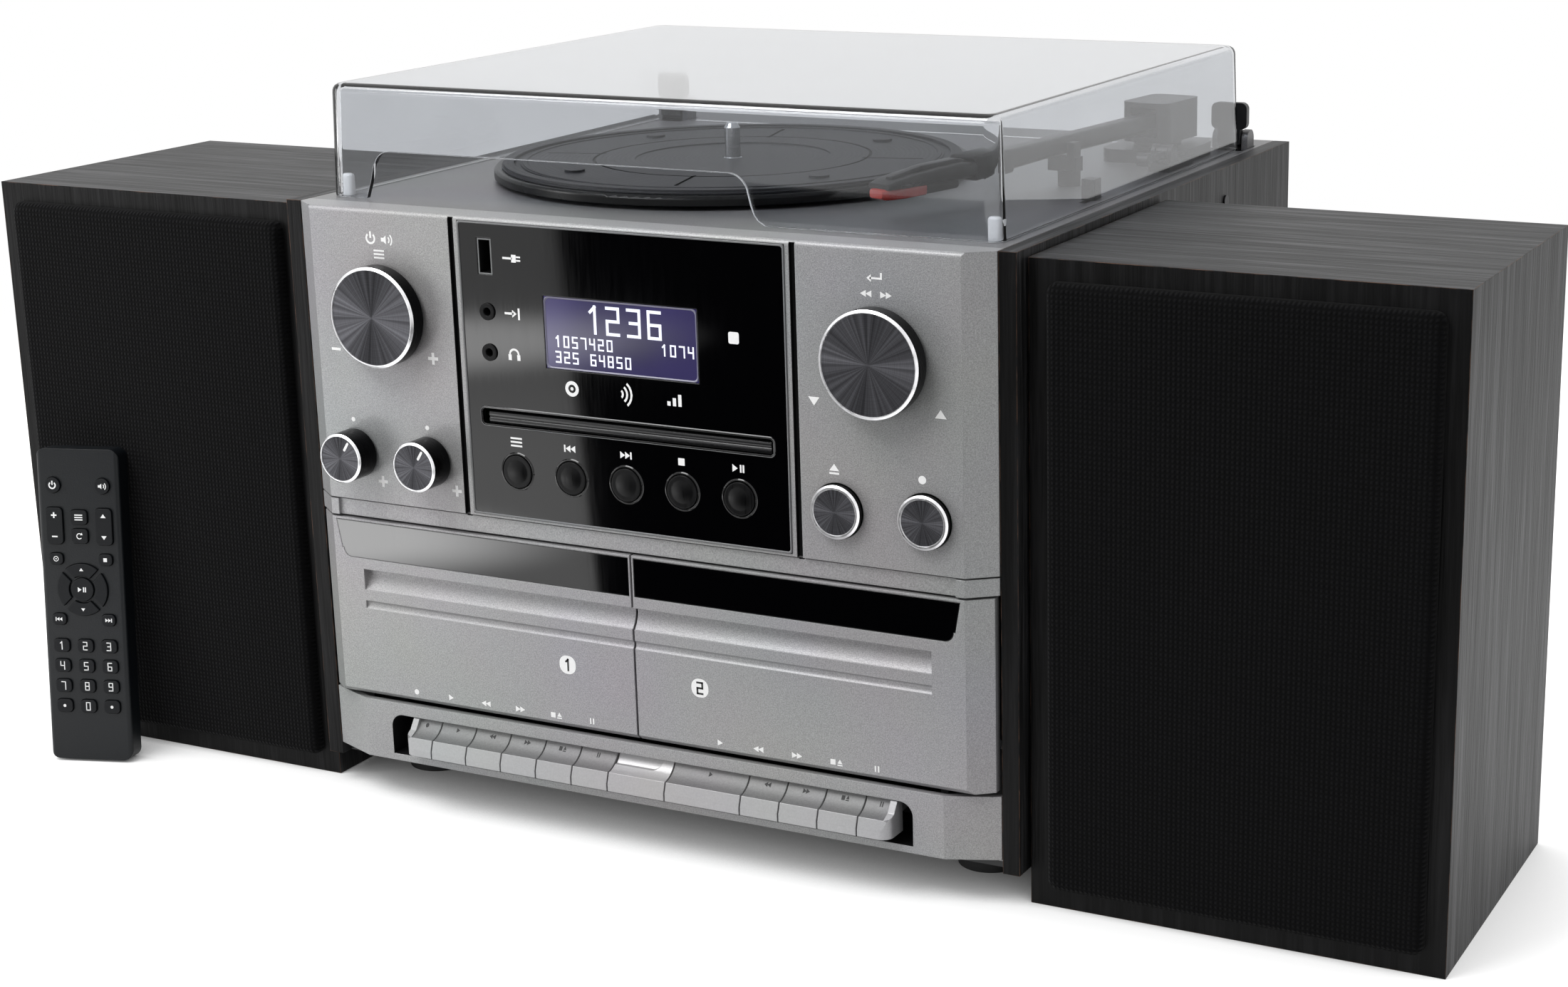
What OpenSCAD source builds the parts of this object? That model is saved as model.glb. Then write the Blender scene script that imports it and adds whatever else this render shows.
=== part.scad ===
// Stereo music centre: record deck under a clear cover, disc slot, two cassette
// decks, two loudspeakers and a remote control.
// Millimetres. X right, Y back, Z up, the table at Z = 0. Sizes from the front are
// measured from the flat face of the main unit, and seat() centres the whole set.

/* [Main unit] */
// Width over the two wooden side panels
unit_w = 346; // [344:1:430]
// Depth of the side panels, front to back
cabinet_d = 317; // [310:1:400]
// Height of the body above the feet
body_h = 254; // [250:1:320]
// Height of the rubber feet
foot_h = 14; // [6:1:25]
// Radius of each rubber foot
foot_r = 14; // [8:1:20]
// Thickness of a wooden side panel
side_t = 7.5; // [5:0.5:9]
// How far the slanted front corners run back
corner_set = 8.6; // [6:0.2:12]
// Width of each slanted front corner
corner_w = 11.1; // [9:0.1:13]
// Thickness of the moulded front
fascia_t = 3; // [2.6:0.1:3.6]

/* [Front, cassette half] */
// Height of the bezel round the cassette keys
bezel_h = 27.3; // [26.5:0.1:32]
// Height of a cassette door
door_h = 81.4; // [78:0.2:84]
// Height of the strip above the doors
ledge_h = 7.2; // [5:0.1:10]
// Gap between the two doors
door_split = 1; // [0.6:0.1:2]
// Height of the glossy window in a door
window_h = 17; // [12:0.5:19]
// Width of one cassette key with its gap
key_pitch = 18.25; // [17:0.05:18.5]
// Gap between neighbouring keys
key_gap = 0.7; // [0.5:0.05:1]
// Width of the fixed piece between the two key groups
filler_w = 28.3; // [24:0.1:30]
// Radius of the shaft the keys swing on
key_shaft_r = 2; // [1.5:0.1:2.5]

/* [Front, control half] */
// Half width of the glossy black centre panel
panel_half = 77.5; // [76:0.5:79]
// Thickness of the glossy black panel
panel_t = 1.5; // [1:0.1:1.8]
// Width of the disc slot
slot_w = 140; // [136:1:144]
// Height of the disc slot
slot_h = 6.6; // [6:0.1:8]
// Width of the display
display_w = 73; // [60:1:80]
// Height of the display
display_h = 30.2; // [24:0.2:32]
// Radius of the two large knobs
knob_r = 21.7; // [18:0.1:23]
// How far the large knobs stand out
knob_out = 9.4; // [7:0.1:14]
// Centre of the large knobs, out from the middle
knob_x = 118; // [114:0.5:122]
// Radius of the two tone knobs
tone_r = 10.9; // [8:0.1:12]
// How far the tone knobs stand out
tone_out = 12.8; // [9:0.1:15]
// Radius of the eject and record buttons
push_r = 11.1; // [8:0.1:12]
// Half the distance between the two small controls under a knob
pair_half = 19.4; // [17:0.1:21]
// Radius of the five round buttons
button_r = 7; // [5:0.1:8]
// Distance between the five round buttons
button_pitch = 26.9; // [22:0.1:28]
// Radius of a control shaft
shaft_r = 3; // [2.5:0.1:3.2]
// How far the buttons and knobs press in
press_in = 1.2; // [0.8:0.1:1.4]

/* [Record deck] */
// Radius of the platter
platter_r = 107.5; // [95:0.5:112]
// Platter centre, right of the middle
platter_x = -29; // [-35:0.5:-25]
// Platter centre, back from the front face
platter_y = 145.4; // [138:0.2:155]
// Radius of the spindle
spindle_r = 3.55; // [3.4:0.05:3.6]
// Height of the spindle above the deck
spindle_h = 22.5; // [18:0.5:26]
// Radius of the belt ring under the platter
ring_r = 40; // [34:0.5:44]
// Distance between the spindle and the motor pulley
motor_reach = 52; // [50:0.5:56]
// Radius of the motor pulley
pulley_r = 5; // [3:0.5:6]
// Distance between the tonearm pivot and the needle
arm_len = 205.4; // [195:0.2:210]
// Angle of the resting tonearm from straight ahead
arm_rest_deg = 6.7; // [5:0.1:8]
// Tonearm pivot in from the right side of the cabinet
arm_inset = 42; // [40:0.5:48]
// Tonearm pivot, back from the front face
arm_y = 256; // [250:0.5:262]

/* [Dust cover] */
// Height of the dust cover
cover_h = 48.6; // [40:0.2:70]
// Thickness of the dust cover
cover_t = 2.5; // [2:0.1:3.5]
// Radius of the upright corners of the cover
cover_r = 7; // [5:0.5:12]
// Radius of the upper edges of the cover
cover_top_r = 4; // [3.6:0.1:6]
// Height of the finger cut-out above the deck
cut_h = 20.4; // [12:0.2:26]

/* [Loudspeakers] */
// Width of a loudspeaker
spk_w = 171.4; // [150:0.2:210]
// Depth of a loudspeaker
spk_d = 143.4; // [120:0.2:200]
// Height of a loudspeaker
spk_h = 265; // [220:1:330]
// Gap between a loudspeaker and the main unit
spk_gap = 1.4; // [0.6:0.1:60]
// Front of the loudspeakers behind the front face
spk_set = 16.5; // [12:0.5:40]
// Wall thickness of a loudspeaker
spk_t = 9; // [6:0.5:15]
// Border around the grille
grille_border = 8.4; // [5:0.2:15]
// How far the grille stands out
grille_out = 5.2; // [4.2:0.1:8]
// Radius of the hole for the loudspeaker's driver
driver_r = 52; // [35:1:60]

/* [Remote control] */
// Width of the remote control
remote_w = 40; // [38:0.5:50]
// Length of the remote control
remote_h = 147; // [145:1:175]
// Thickness of the remote control
remote_t = 10; // [8:0.5:16]
// How far the remote control leans back, degrees
remote_lean = 6; // [4:0.5:12]
// How far the remote control is turned to the right, degrees
remote_turn = 18; // [0:1:30]

/* [Clearances] */
// Radial gap around a turning or sliding shaft
run_gap = 0.05; // [0.02:0.01:0.08]
// Gap around a pressed button
button_gap = 0.35; // [0.3:0.05:0.45]
// Gap between pieces that only lie close together
near = 0.3; // [0.25:0.05:0.4]

/* [Hidden] */
$fn = 48;
fascia_w = unit_w - 2 * side_t - 0.8;
half = fascia_w / 2;
wall_x = unit_w / 2 - side_t;
flat = half - corner_w;
rear_y = corner_set + cabinet_d;
base_z = foot_h + 4;
side_screw_y = rear_y - 88.5;
side_screw_z = foot_h + body_h - 15.2;
deck_z = foot_h + body_h;
deck_y0 = corner_set + 6;
bezel_z0 = foot_h + 5.7;
bezel_z1 = bezel_z0 + bezel_h;
door_z0 = bezel_z1 + 2;
door_z1 = door_z0 + door_h;
ledge_z0 = door_z1 + 1;
ledge_z1 = ledge_z0 + ledge_h;
upper_z0 = ledge_z1 + 0.7;
row_z = upper_z0 + 21.5;
slot_z = upper_z0 + 44.4;
display_z = upper_z0 + 82.8;
knob_z = upper_z0 + 84;
usb_z = upper_z0 + 112.5;
aux_z = upper_z0 + 89.3;
phones_z = upper_z0 + 72;
socket_x = -64.5;
shelf_z = ledge_z1 + 21;
board_y = 14;
bezel_flat = flat - 10.5;
recess_z0 = bezel_z0 + 3.1;
key_z0 = recess_z0 + 3.9;
key_top = recess_z0 + 18.3;
lip_z = key_top + 0.4;
key_front = -8;
key_axis_y = 34;
key_axis_z = recess_z0 + 13.2;
key_x0 = 2.35 - filler_w / 2 - 5 * key_pitch;
key_x1 = 2.35 + filler_w / 2;
end_key_w = 15;
end_rim = 3.4;
hollow_r = 10.4;
filler_x0 = 2.35 - (filler_w - key_gap) / 2;
filler_x1 = 2.35 + (filler_w - key_gap) / 2;
recess_half = 129.5;
door_w = half - 1.6;
door_t = 4;
door_axis_y = 6;
door_axis_z = door_z0 + 1.8;
door_mid = 77;
cassette_half = 51.2;
carrier_y = 20;
mech_y = 24;
rod_r = 1.5;
arm_x = unit_w / 2 - arm_inset;
arm_z = deck_z + 17;
stylus_z = deck_z + 9.4;
lever_x = arm_x + 18;
lever_y = arm_y - 38;
lever_z = deck_z + 8;
switch_x = unit_w / 2 - 23;
switch_y = 132;
hinge_y = rear_y - 25.6;
hinge_z = deck_z + 4;
hinge_x = unit_w / 2 - 20;
cover_w = unit_w - 25.6;
cover_y0 = 21.8;
cover_y1 = hinge_y - 6;
cover_z0 = deck_z + near;
cover_mid = (cover_y0 + cover_y1) / 2;
cover_d = cover_y1 - cover_y0;
spk_x = unit_w / 2 + spk_gap;
remote_x = -(spk_x + 0.7 * spk_w);
remote_y = spk_set - grille_out - near - remote_w / 2 * sin(remote_turn)
  - remote_h * sin(remote_lean) * cos(remote_turn);
foot_ys = [49, rear_y - 35];
journal_r = spindle_r + 0.5;
journal_top = 7.1;
rear_out = 6;
front_reach = remote_t * cos(remote_lean) * cos(remote_turn) + remote_w / 2 * sin(remote_turn) - remote_y;
mid_y = (rear_y + rear_out - front_reach) / 2;

module seat() translate([0, -mid_y, 0]) children();
module mirrored() { children(); mirror([1, 0, 0]) children(); }
module slab(x0, x1, y0, y1, z0, z1) translate([x0, y0, z0]) cube([x1 - x0, y1 - y0, z1 - z0]);
// a shape drawn in X and Z, y0 to y1 deep
module deep(y0, y1) translate([0, y1, 0]) rotate([90, 0, 0]) linear_extrude(y1 - y0) children();
// a shape drawn in Y and Z, x0 to x1 wide
module wide(x0, x1) translate([x0, 0, 0]) rotate([90, 0, 90]) linear_extrude(x1 - x0) children();
module rod_y(x, z, r, y0, y1) translate([x, y1, z]) rotate([90, 0, 0]) cylinder(r = r, h = y1 - y0);
module rod_x(y, z, r, x0, x1) translate([x0, y, z]) rotate([0, 90, 0]) cylinder(r = r, h = x1 - x0);
module rod_z(x, y, r, z0, z1) translate([x, y, z0]) cylinder(r = r, h = z1 - z0);
// rectangle with round corners, drawn from its lower left corner
module soft_rect(w, h, r) {
  translate([r, 0]) square([w - 2 * r, h]);
  translate([0, r]) square([w, h - 2 * r]);
  for (x = [r, w - r], y = [r, h - r]) translate([x, y]) circle(r);
}
module soft_mid(w, h, r) translate([-w / 2, -h / 2]) soft_rect(w, h, r);

// ---------- cabinet ----------
module cabinet_sides() color("#1c1b1a") seat() mirrored() difference() {
  slab(wall_x, unit_w / 2, corner_set, rear_y, foot_h, deck_z);
  rod_x(side_screw_y, side_screw_z, 1.7, wall_x - 1, unit_w / 2 + 1);
}

module chassis() color("#8d9094") seat() difference() {
  union() {
    slab(-wall_x, wall_x, corner_set + 6, rear_y - 4, foot_h, base_z);
    slab(-wall_x, wall_x, 42, 44, base_z - 1, shelf_z);
    slab(-wall_x, wall_x, 42, rear_y - 4, shelf_z - 2, shelf_z);
    for (x = [-150, 140], z = [base_z - 1, shelf_z - 1]) slab(x, x + 10, rear_y - 16, rear_y - 4, z, z + 11);
    for (x = [-127, 0, 127]) slab(x, x + 4, key_axis_y - 4, 43, key_axis_z - 4, key_axis_z + 4);
    rod_x(key_axis_y, key_axis_z, key_shaft_r, -127, 131);
  }
  for (x = [-145, 145], z = [base_z + 5, shelf_z + 5]) rod_y(x, z, 1.5, rear_y - 15, rear_y - 3);
  for (x = [-wall_x + 24, wall_x - 24], y = foot_ys) rod_z(x, y, 2, foot_h - 1, base_z + 1);
  for (x = [-110 : 20 : 110]) slab(x - 2, x + 2, 90, 150, foot_h - 1, base_z + 1);
}

module rear_cover() color("#242528") seat() difference() {
  slab(-wall_x, wall_x, rear_y - 4, rear_y - 1.5, base_z - 4, deck_z - 4);
  for (x = [-145, 145], z = [base_z + 5, shelf_z + 5]) rod_y(x, z, 1.7, rear_y - 5, rear_y);
  for (z = [shelf_z + 20 : 7 : shelf_z + 62]) slab(-60, 60, rear_y - 5, rear_y, z, z + 3);
  deep(rear_y - 5, rear_y) translate([-120, base_z + 20]) soft_mid(24.4, 14.4, 3);
  for (x = [60, 90]) rod_y(x, base_z + 24, 6.2, rear_y - 5, rear_y);
}

module well_shape(r, z0, z1) rod_z(platter_x, platter_y, r, z0, z1);

module deck_plate() color("#7f8082") seat() {
  difference() {
    union() {
      slab(-half, half, deck_y0, rear_y, deck_z - 4, deck_z);
      well_shape(platter_r - 39.5, deck_z - 14, deck_z - 2);
      mirrored() slab(half - 3, wall_x, 30, rear_y - 10, deck_z - 18, deck_z - 3.5);
    }
    well_shape(platter_r - 41.5, deck_z - 12, deck_z + 1);
    well_shape(5, deck_z - 15, deck_z - 11);
    rod_z(platter_x - motor_reach, platter_y, 4, deck_z - 15, deck_z - 11);
    mirrored() slab(hinge_x - 10, hinge_x + 10, hinge_y - 13, hinge_y + 6, deck_z - 5, deck_z + 1);
    rod_z(arm_x, arm_y, 8, deck_z - 5, deck_z + 1);
    slab(switch_x - 1.7, switch_x + 1.7, switch_y - 10, switch_y + 10, deck_z - 5, deck_z + 1);
    mirrored() rod_x(side_screw_y, side_screw_z, 1.6, half - 4, wall_x + 1);
  }
  mirrored() hinge_socket();
}

// fixed half of a cover hinge: a box under the deck, two ears and a pin
module hinge_socket() translate([hinge_x, 0, 0]) {
  difference() {
    slab(-11.3, 11.3, hinge_y - 14.5, hinge_y + 7.5, deck_z - 20, deck_z - 3.5);
    slab(-9, 9, hinge_y - 12, hinge_y + 5, deck_z - 18, deck_z - 3);
  }
  for (x = [-9.5, 6.5]) {
    slab(x, x + 3, hinge_y - 4.5, hinge_y + 4.5, deck_z - 19, hinge_z);
    rod_x(hinge_y, hinge_z, 4.5, x, x + 3);
  }
  rod_x(hinge_y, hinge_z, 2, -9.5, 9.5);
}

// ---------- moulded front ----------
// outline of the front seen from above, with slanted corners
module front_edge(f, d) polygon([[-half, corner_set], [-f, 0], [f, 0], [half, corner_set],
  [half, corner_set + d], [f, d], [-f, d], [-half, corner_set + d]]);
module front_strip(f, z0, z1, d) translate([0, 0, z0]) linear_extrude(z1 - z0) front_edge(f, d);
module side_tab(z0, z1) mirrored() slab(half - 2.6, wall_x, corner_set + fascia_t - 0.5, 30, z0, z1);

module knob_places() for (s = [-1, 1]) translate([s * knob_x, 0, knob_z]) children();
module button_places() for (i = [-2 : 2]) translate([i * button_pitch, 0, row_z]) children();

module fascia() color("#7f8082") seat() difference() {
  union() {
    front_strip(flat, upper_z0, deck_z, fascia_t);
    front_strip(flat, ledge_z0, ledge_z1, fascia_t);
    translate([0, 0, deck_z - 4]) linear_extrude(4) polygon([[-half, corner_set], [-flat, 0],
      [flat, 0], [half, corner_set], [half, deck_y0], [-half, deck_y0]]);
    slab(-flat, flat, fascia_t - 0.2, 6, ledge_z0 + 1, upper_z0 + 8);
    side_tab(ledge_z0, ledge_z1);
    side_tab(upper_z0, deck_z - 20);
    for (x = [-140, 140], z = [upper_z0 + 10, deck_z - 20]) rod_y(x, z, 3.5, fascia_t - 0.5, board_y);
  }
  // rounded upper front edge
  wide(-flat - 1, flat + 1) translate([0, deck_z - 2]) difference() {
    translate([-1, 0]) square([3, 3]);
    translate([2, 0]) circle(2);
  }
  slab(4 - flat, flat - 4, -1, 1.3, ledge_z0 - 1, ledge_z1 + 0.4);
  slab(-panel_half - 0.1, panel_half + 0.1, -1, panel_t, upper_z0 + 1, deck_z - 1.7);
  mirrored() slab(panel_half + 2.1, panel_half + 4.7, -1, 2.2, upper_z0 - 1, deck_z - 0.8);
  deep(-1, 8) translate([0, slot_z]) soft_mid(slot_w + 2, slot_h + 2, 2);
  slab(-display_w / 2 - 4.3, display_w / 2 + 4.3, 0, 8, display_z - 20, display_z + 20);
  slab(socket_x - 6, socket_x + 6, 0, 8, phones_z - 8, usb_z + 10);
  button_places() rod_y(0, 0, button_r + button_gap, -1, 9);
  knob_places() rod_y(0, 0, shaft_r + 2.4, -1, 9);
  for (s = [-1, 1]) {
    rod_y(-knob_x + s * pair_half, row_z, shaft_r + 2.4, -1, 9);
    rod_y(knob_x + s * pair_half, row_z, push_r + button_gap, -1, 9);
  }
}

module front_panel() color("#0c0c0f") seat() difference() {
  slab(-panel_half, panel_half, 0, panel_t, upper_z0 + 1.1, deck_z - 1.8);
  deep(-1, 3) translate([0, slot_z]) soft_mid(slot_w, slot_h, 1.5);
  slab(-display_w / 2 - 0.2, display_w / 2 + 0.2, -1, 3, display_z - display_h / 2 - 0.2,
    display_z + display_h / 2 + 0.2);
  slab(socket_x - 3.6, socket_x + 3.6, -1, 3, usb_z - 7.7, usb_z + 7.7);
  for (z = [aux_z, phones_z]) rod_y(socket_x, z, 3.4, -1, 3);
  button_places() rod_y(0, 0, button_r + button_gap, -1, 3);
}

module display_module() color("#2a2a6a") seat() {
  slab(-display_w / 2, display_w / 2, 0.4, 4, display_z - display_h / 2, display_z + display_h / 2);
  slab(-display_w / 2 - 3, display_w / 2 + 3, panel_t + 0.1, board_y, display_z - 18, display_z + 18);
}

// data port and two jacks at the front, mains inlet and two outputs at the back
module connectors() color("#6b6e73") seat() {
  difference() {
    slab(socket_x - 3.5, socket_x + 3.5, 0.2, board_y, usb_z - 7.6, usb_z + 7.6);
    slab(socket_x - 2.8, socket_x + 2.8, -1, board_y - 1.5, usb_z - 6.9, usb_z + 6.9);
  }
  for (z = [aux_z, phones_z]) difference() {
    union() {
      rod_y(socket_x, z, 3.65, -0.6, 0);
      rod_y(socket_x, z, 3.3, -0.1, 3);
      slab(socket_x - 5, socket_x + 5, 2.8, board_y, z - 5, z + 5);
    }
    rod_y(socket_x, z, 1.8, -1, board_y - 1.5);
  }
  difference() {
    union() {
      deep(rear_y - 20, rear_y - 1.5) translate([-120, base_z + 20]) soft_mid(24, 14, 3);
      deep(rear_y - 1.5, rear_y) translate([-120, base_z + 20]) soft_mid(30, 20, 4);
    }
    deep(rear_y - 17, rear_y + 1) translate([-120, base_z + 20]) soft_mid(19, 9, 4);
  }
  for (x = [60, 90]) difference() {
    union() {
      rod_y(x, base_z + 24, 6, rear_y - 14, rear_y);
      rod_y(x, base_z + 24, 7.5, rear_y - 1.5, rear_y);
      rod_y(x, base_z + 24, 4.2, rear_y - 1, rear_y + rear_out);
    }
    rod_y(x, base_z + 24, 1.6, rear_y - 6, rear_y + rear_out + 1);
  }
}

// ---------- inside ----------
module control_body(x, z) {
  translate([x, 0, z]) {
    slab(-7, 7, 5, board_y + 0.1, -7, 7);
    rod_y(0, 0, shaft_r + 2, 0.6, 5.1);
    slab(-5, 5, board_y + 1.5, board_y + 9, -5, 5);
  }
}

module electronics() color("#1f5b34") seat() {
  difference() {
    union() {
      slab(-150, 150, board_y, board_y + 1.6, upper_z0 + 4, deck_z - 14);
      for (s = [-1, 1]) {
        control_body(s * knob_x, knob_z);
        control_body(-knob_x + s * pair_half, row_z);
        rod_y(knob_x + s * pair_half, row_z, 2.5, 12, board_y + 0.1);
      }
      button_places() rod_y(0, 0, 2.5, 12, board_y + 0.1);
    }
    slab(-slot_w / 2 - 6, slot_w / 2 + 6, board_y - 1, board_y + 3, slot_z - 13, slot_z + 13);
    knob_places() rod_y(0, 0, shaft_r + run_gap, 0, board_y + 7);
    for (s = [-1, 1]) rod_y(-knob_x + s * pair_half, row_z, shaft_r + run_gap, 0, board_y + 7);
  }
  // power board on four posts, with capacitors and a finned heat sink
  slab(-150, 40, 70, 300, base_z + 6, base_z + 7.6);
  for (x = [-132, 34], y = [76, 294]) rod_z(x, y, 3, base_z, base_z + 6.1);
  for (x = [-60, -35, -10]) rod_z(x, 250, 9, base_z + 7.5, base_z + 40);
  slab(-130, -80, 180, 184, base_z + 7.5, base_z + 50);
  for (x = [-130 : 7 : -84]) slab(x, x + 2, 183, 205, base_z + 7.5, base_z + 50);
  for (y = [100, 130, 160]) slab(-40, 10, y, y + 12, base_z + 7.5, base_z + 12);
  // transformer: laminated core with its winding
  difference() {
    slab(70, 134, 220, 262, base_z, base_z + 54);
    for (x = [81, 112]) slab(x, x + 11, 219, 263, base_z + 11, base_z + 43);
  }
  difference() {
    slab(81.3, 122.7, 211, 271, base_z + 11.3, base_z + 42.7);
    slab(91.7, 112.3, 219.7, 262.3, base_z + 11, base_z + 43);
  }
}

module cd_loader() color("#55585c") seat() {
  difference() {
    slab(-76, 76, 18, 172, slot_z - 10, slot_z + 10);
    slab(-66, 66, 17, 162, slot_z - slot_h / 2, slot_z + slot_h / 2);
    rod_z(0, 105, 45, slot_z + 8, slot_z + 11);
  }
  for (x = [-62, 62], y = [60, 160]) rod_z(x, y, 5, shelf_z, slot_z - 9.9);
}

// two cassette mechanisms on one cross plate, with the rods the doors hang on
module cassette_mechanisms() color("#6f7378") seat() {
  slab(-wall_x, wall_x, mech_y, mech_y + 2, door_z0 + 12, ledge_z0 - 1);
  mirrored() {
    slab(door_mid - 46, door_mid + 46, mech_y + 2, 40, door_z0 + 16, door_z1 - 8);
    for (x = [-21.25, 21.25]) {
      rod_y(door_mid + x, door_z0 + 43, 5.5, mech_y - 3, mech_y + 0.1);
      rod_y(door_mid + x, door_z0 + 43, 3, 13, mech_y - 2.9);
      for (a = [0 : 60 : 300]) translate([door_mid + x, 0, door_z0 + 43]) rotate([0, a, 0])
        slab(2.5, 4.2, 15, mech_y - 2.9, -0.5, 0.5);
    }
    slab(door_mid - 9, door_mid + 9, 17, mech_y + 0.1, door_z0 + 17, door_z0 + 26);
    rod_x(20, door_z0 + 21, 4, door_mid + 14, door_mid + 22);
    slab(door_mid + 13, door_mid + 23, 20, mech_y + 0.1, door_z0 + 19, door_z0 + 23);
    for (x = [30, 124]) slab(x, x + 3, door_axis_y - 0.5, 30, door_axis_z - 2, door_axis_z + 2);
    for (x = [30, 124]) slab(x, x + 3, 27, 30, door_axis_z - 2, door_z0 + 18);
    for (x = [30, 124]) slab(x, x + 3, mech_y + 1, 30, door_z0 + 12, door_z0 + 18);
    rod_x(door_axis_y, door_axis_z, rod_r, 12, 145);
  }
}

// ---------- cassette doors ----------
module door_outline(d) polygon([[door_split / 2, 0], [flat, 0], [door_w, door_w_back()],
  [door_w, door_w_back() + d], [flat, d], [door_split / 2, d]]);
function door_w_back() = corner_set * (door_w - flat) / corner_w;

module window_shape(g) difference() {
  polygon([[door_split / 2 + 0.7 + g, door_z1 - 1 - g], [flat - 2 - g, door_z1 - 1 - g],
    [flat - 5 - g, door_z1 - 1 - window_h + g], [door_split / 2 + 0.7 + g, door_z1 - 1 - window_h + g]]);
  translate([flat - 9 - g, door_z1 - 1 - window_h + g]) difference() {
    translate([0, -1]) square([8, 5]);
    translate([0, 4]) circle(4);
  }
}

module door() difference() {
  union() {
    difference() {
      union() {
        translate([0, 0, door_z0]) linear_extrude(door_h) door_outline(door_t);
        slab(door_mid - cassette_half - 0.5, door_mid + cassette_half + 0.5, door_t - 0.5, 6.5,
          door_z0 + 46, door_z0 + 61);
      }
      // lower edge sloped so the door clears the bezel as it opens
      wide(0, flat + 20) polygon([[-2, door_z0 - 1], [3, door_z0 - 1], [-2, door_z0 + 4]]);
      deep(-1, 1.2) window_shape(0);
      // finger grip: a scoop with a sharp upper edge
      intersection() {
        rod_x(-8.6, door_z0 + 57, 12, 0, flat - 15);
        slab(0, flat - 15, -5, 5, door_z0 + 49, door_z0 + 58.5);
      }
      rod_x(-1.2, door_z0 + 42.3, 2.2, 0, flat - 15);
    }
    for (s = [-1, 1]) translate([door_mid + s * (cassette_half + 1), 0, 0])
      slab(-1, 1, door_t - 0.5, carrier_y, door_z0 + 5, door_z0 + 70);
    slab(door_mid - cassette_half - 2, door_mid + cassette_half + 2, door_t - 0.5, carrier_y - 1,
      door_z0 + 5, door_z0 + 7);
    for (x = [18, 136]) {
      rod_x(door_axis_y, door_axis_z, 3.2, x, x + 5);
      slab(x, x + 5, door_t - 0.5, door_axis_y + 3.2, door_axis_z, door_z0 + 10);
    }
  }
  rod_x(door_axis_y, door_axis_z, rod_r + run_gap, 12, 146);
}

module door_window() deep(0, 1.2) window_shape(0.1);

module cassette_door_right() color("#7f8082") seat() door();
module cassette_door_left() color("#7f8082") seat() mirror([1, 0, 0]) door();
module door_window_right() color("#0b0b0d") seat() door_window();
module door_window_left() color("#0b0b0d") seat() mirror([1, 0, 0]) door_window();

// ---------- cassette keys ----------
module key_bezel() color("#88898b") seat() {
  difference() {
    union() {
      front_strip(bezel_flat, bezel_z0, bezel_z1, fascia_t);
      side_tab(base_z + 0.2, bezel_z1 - 2);
      slab(-recess_half - 2, recess_half + 2, fascia_t - 0.5, 22, recess_z0 - 2, lip_z + 2);
    }
    deep(-1, 30) translate([-recess_half, recess_z0]) {
      soft_rect(2 * recess_half, lip_z - recess_z0, 6);
      square([2 * recess_half, 8]);
    }
  }
  // the fixed piece between the key groups, with a shallow finger scoop, and its web to the bezel
  difference() {
    key_cap(filler_x0, filler_x1, lip_z + 0.5, filler_x0 - 1, filler_x1 + 1);
    intersection() {
      rod_x(key_front + 0.4, key_z0 + 18.3, hollow_r + 0.9, filler_x0 - 1, filler_x1);
      deep(key_front, 6) translate([filler_x0 - 5, key_z0 + 10]) soft_rect(filler_w - 1, 20, 4);
    }
  }
  slab(filler_x0 + 1, filler_x1 - 1, 3, 10, recess_z0 - 1, lip_z + 0.5);
}

// a key's front: upright lower strip, sloping ridge, and an upper face hollowed from x a to b
module key_cap(x0, x1, top, a, b) difference() {
  slab(x0, x1, key_front, 5, key_z0, top);
  wide(x0 - 1, x1 + 1) polygon([[key_front - 1, key_z0 + 3.3], [key_front, key_z0 + 3.3],
    [key_front + 1.6, key_z0 + 8], [key_front + 5.5, key_z0 + 9.9], [key_front + 8.6, top + 0.1],
    [key_front - 1, top + 0.1]]);
  rod_x(key_front + 0.4, key_z0 + 18.3, hollow_r, a, b);
}

module key(x0, x1, round_side = 0) difference() {
  union() {
    intersection() {
      key_cap(x0 + key_gap / 2, x1 - key_gap / 2, key_top,
        round_side < 0 ? x0 + end_rim : x0 - 1, round_side > 0 ? x1 - end_rim : x1 + 1);
      if (round_side != 0) end_round(x0, x1, round_side);
    }
    for (x = x1 - x0 > 25 ? [x0 + 8, x1 - 8] : [(x0 + x1) / 2]) {
      wide(x - 3, x + 3) polygon([[4, key_z0 + 4], [key_axis_y, key_axis_z - 3],
        [key_axis_y, key_axis_z + 3], [4, key_top - 0.4]]);
      rod_x(key_axis_y, key_axis_z, 4.4, x - 3, x + 3);
    }
  }
  rod_x(key_axis_y, key_axis_z, key_shaft_r + run_gap, x0, x1);
}
// footprint that rounds the outer front corner of an end key
module end_round(x0, x1, s) {
  cx = s < 0 ? x0 + key_gap / 2 + 5 : x1 - key_gap / 2 - 5;
  rod_z(cx, key_front + 5, 5, key_z0 - 1, key_top + 1);
  slab(x0, x1, key_front + 5, 6, key_z0 - 1, key_top + 1);
  if (s < 0) slab(cx, x1, key_front - 1, key_front + 6, key_z0 - 1, key_top + 1);
  else slab(x0, cx, key_front - 1, key_front + 6, key_z0 - 1, key_top + 1);
}

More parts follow.
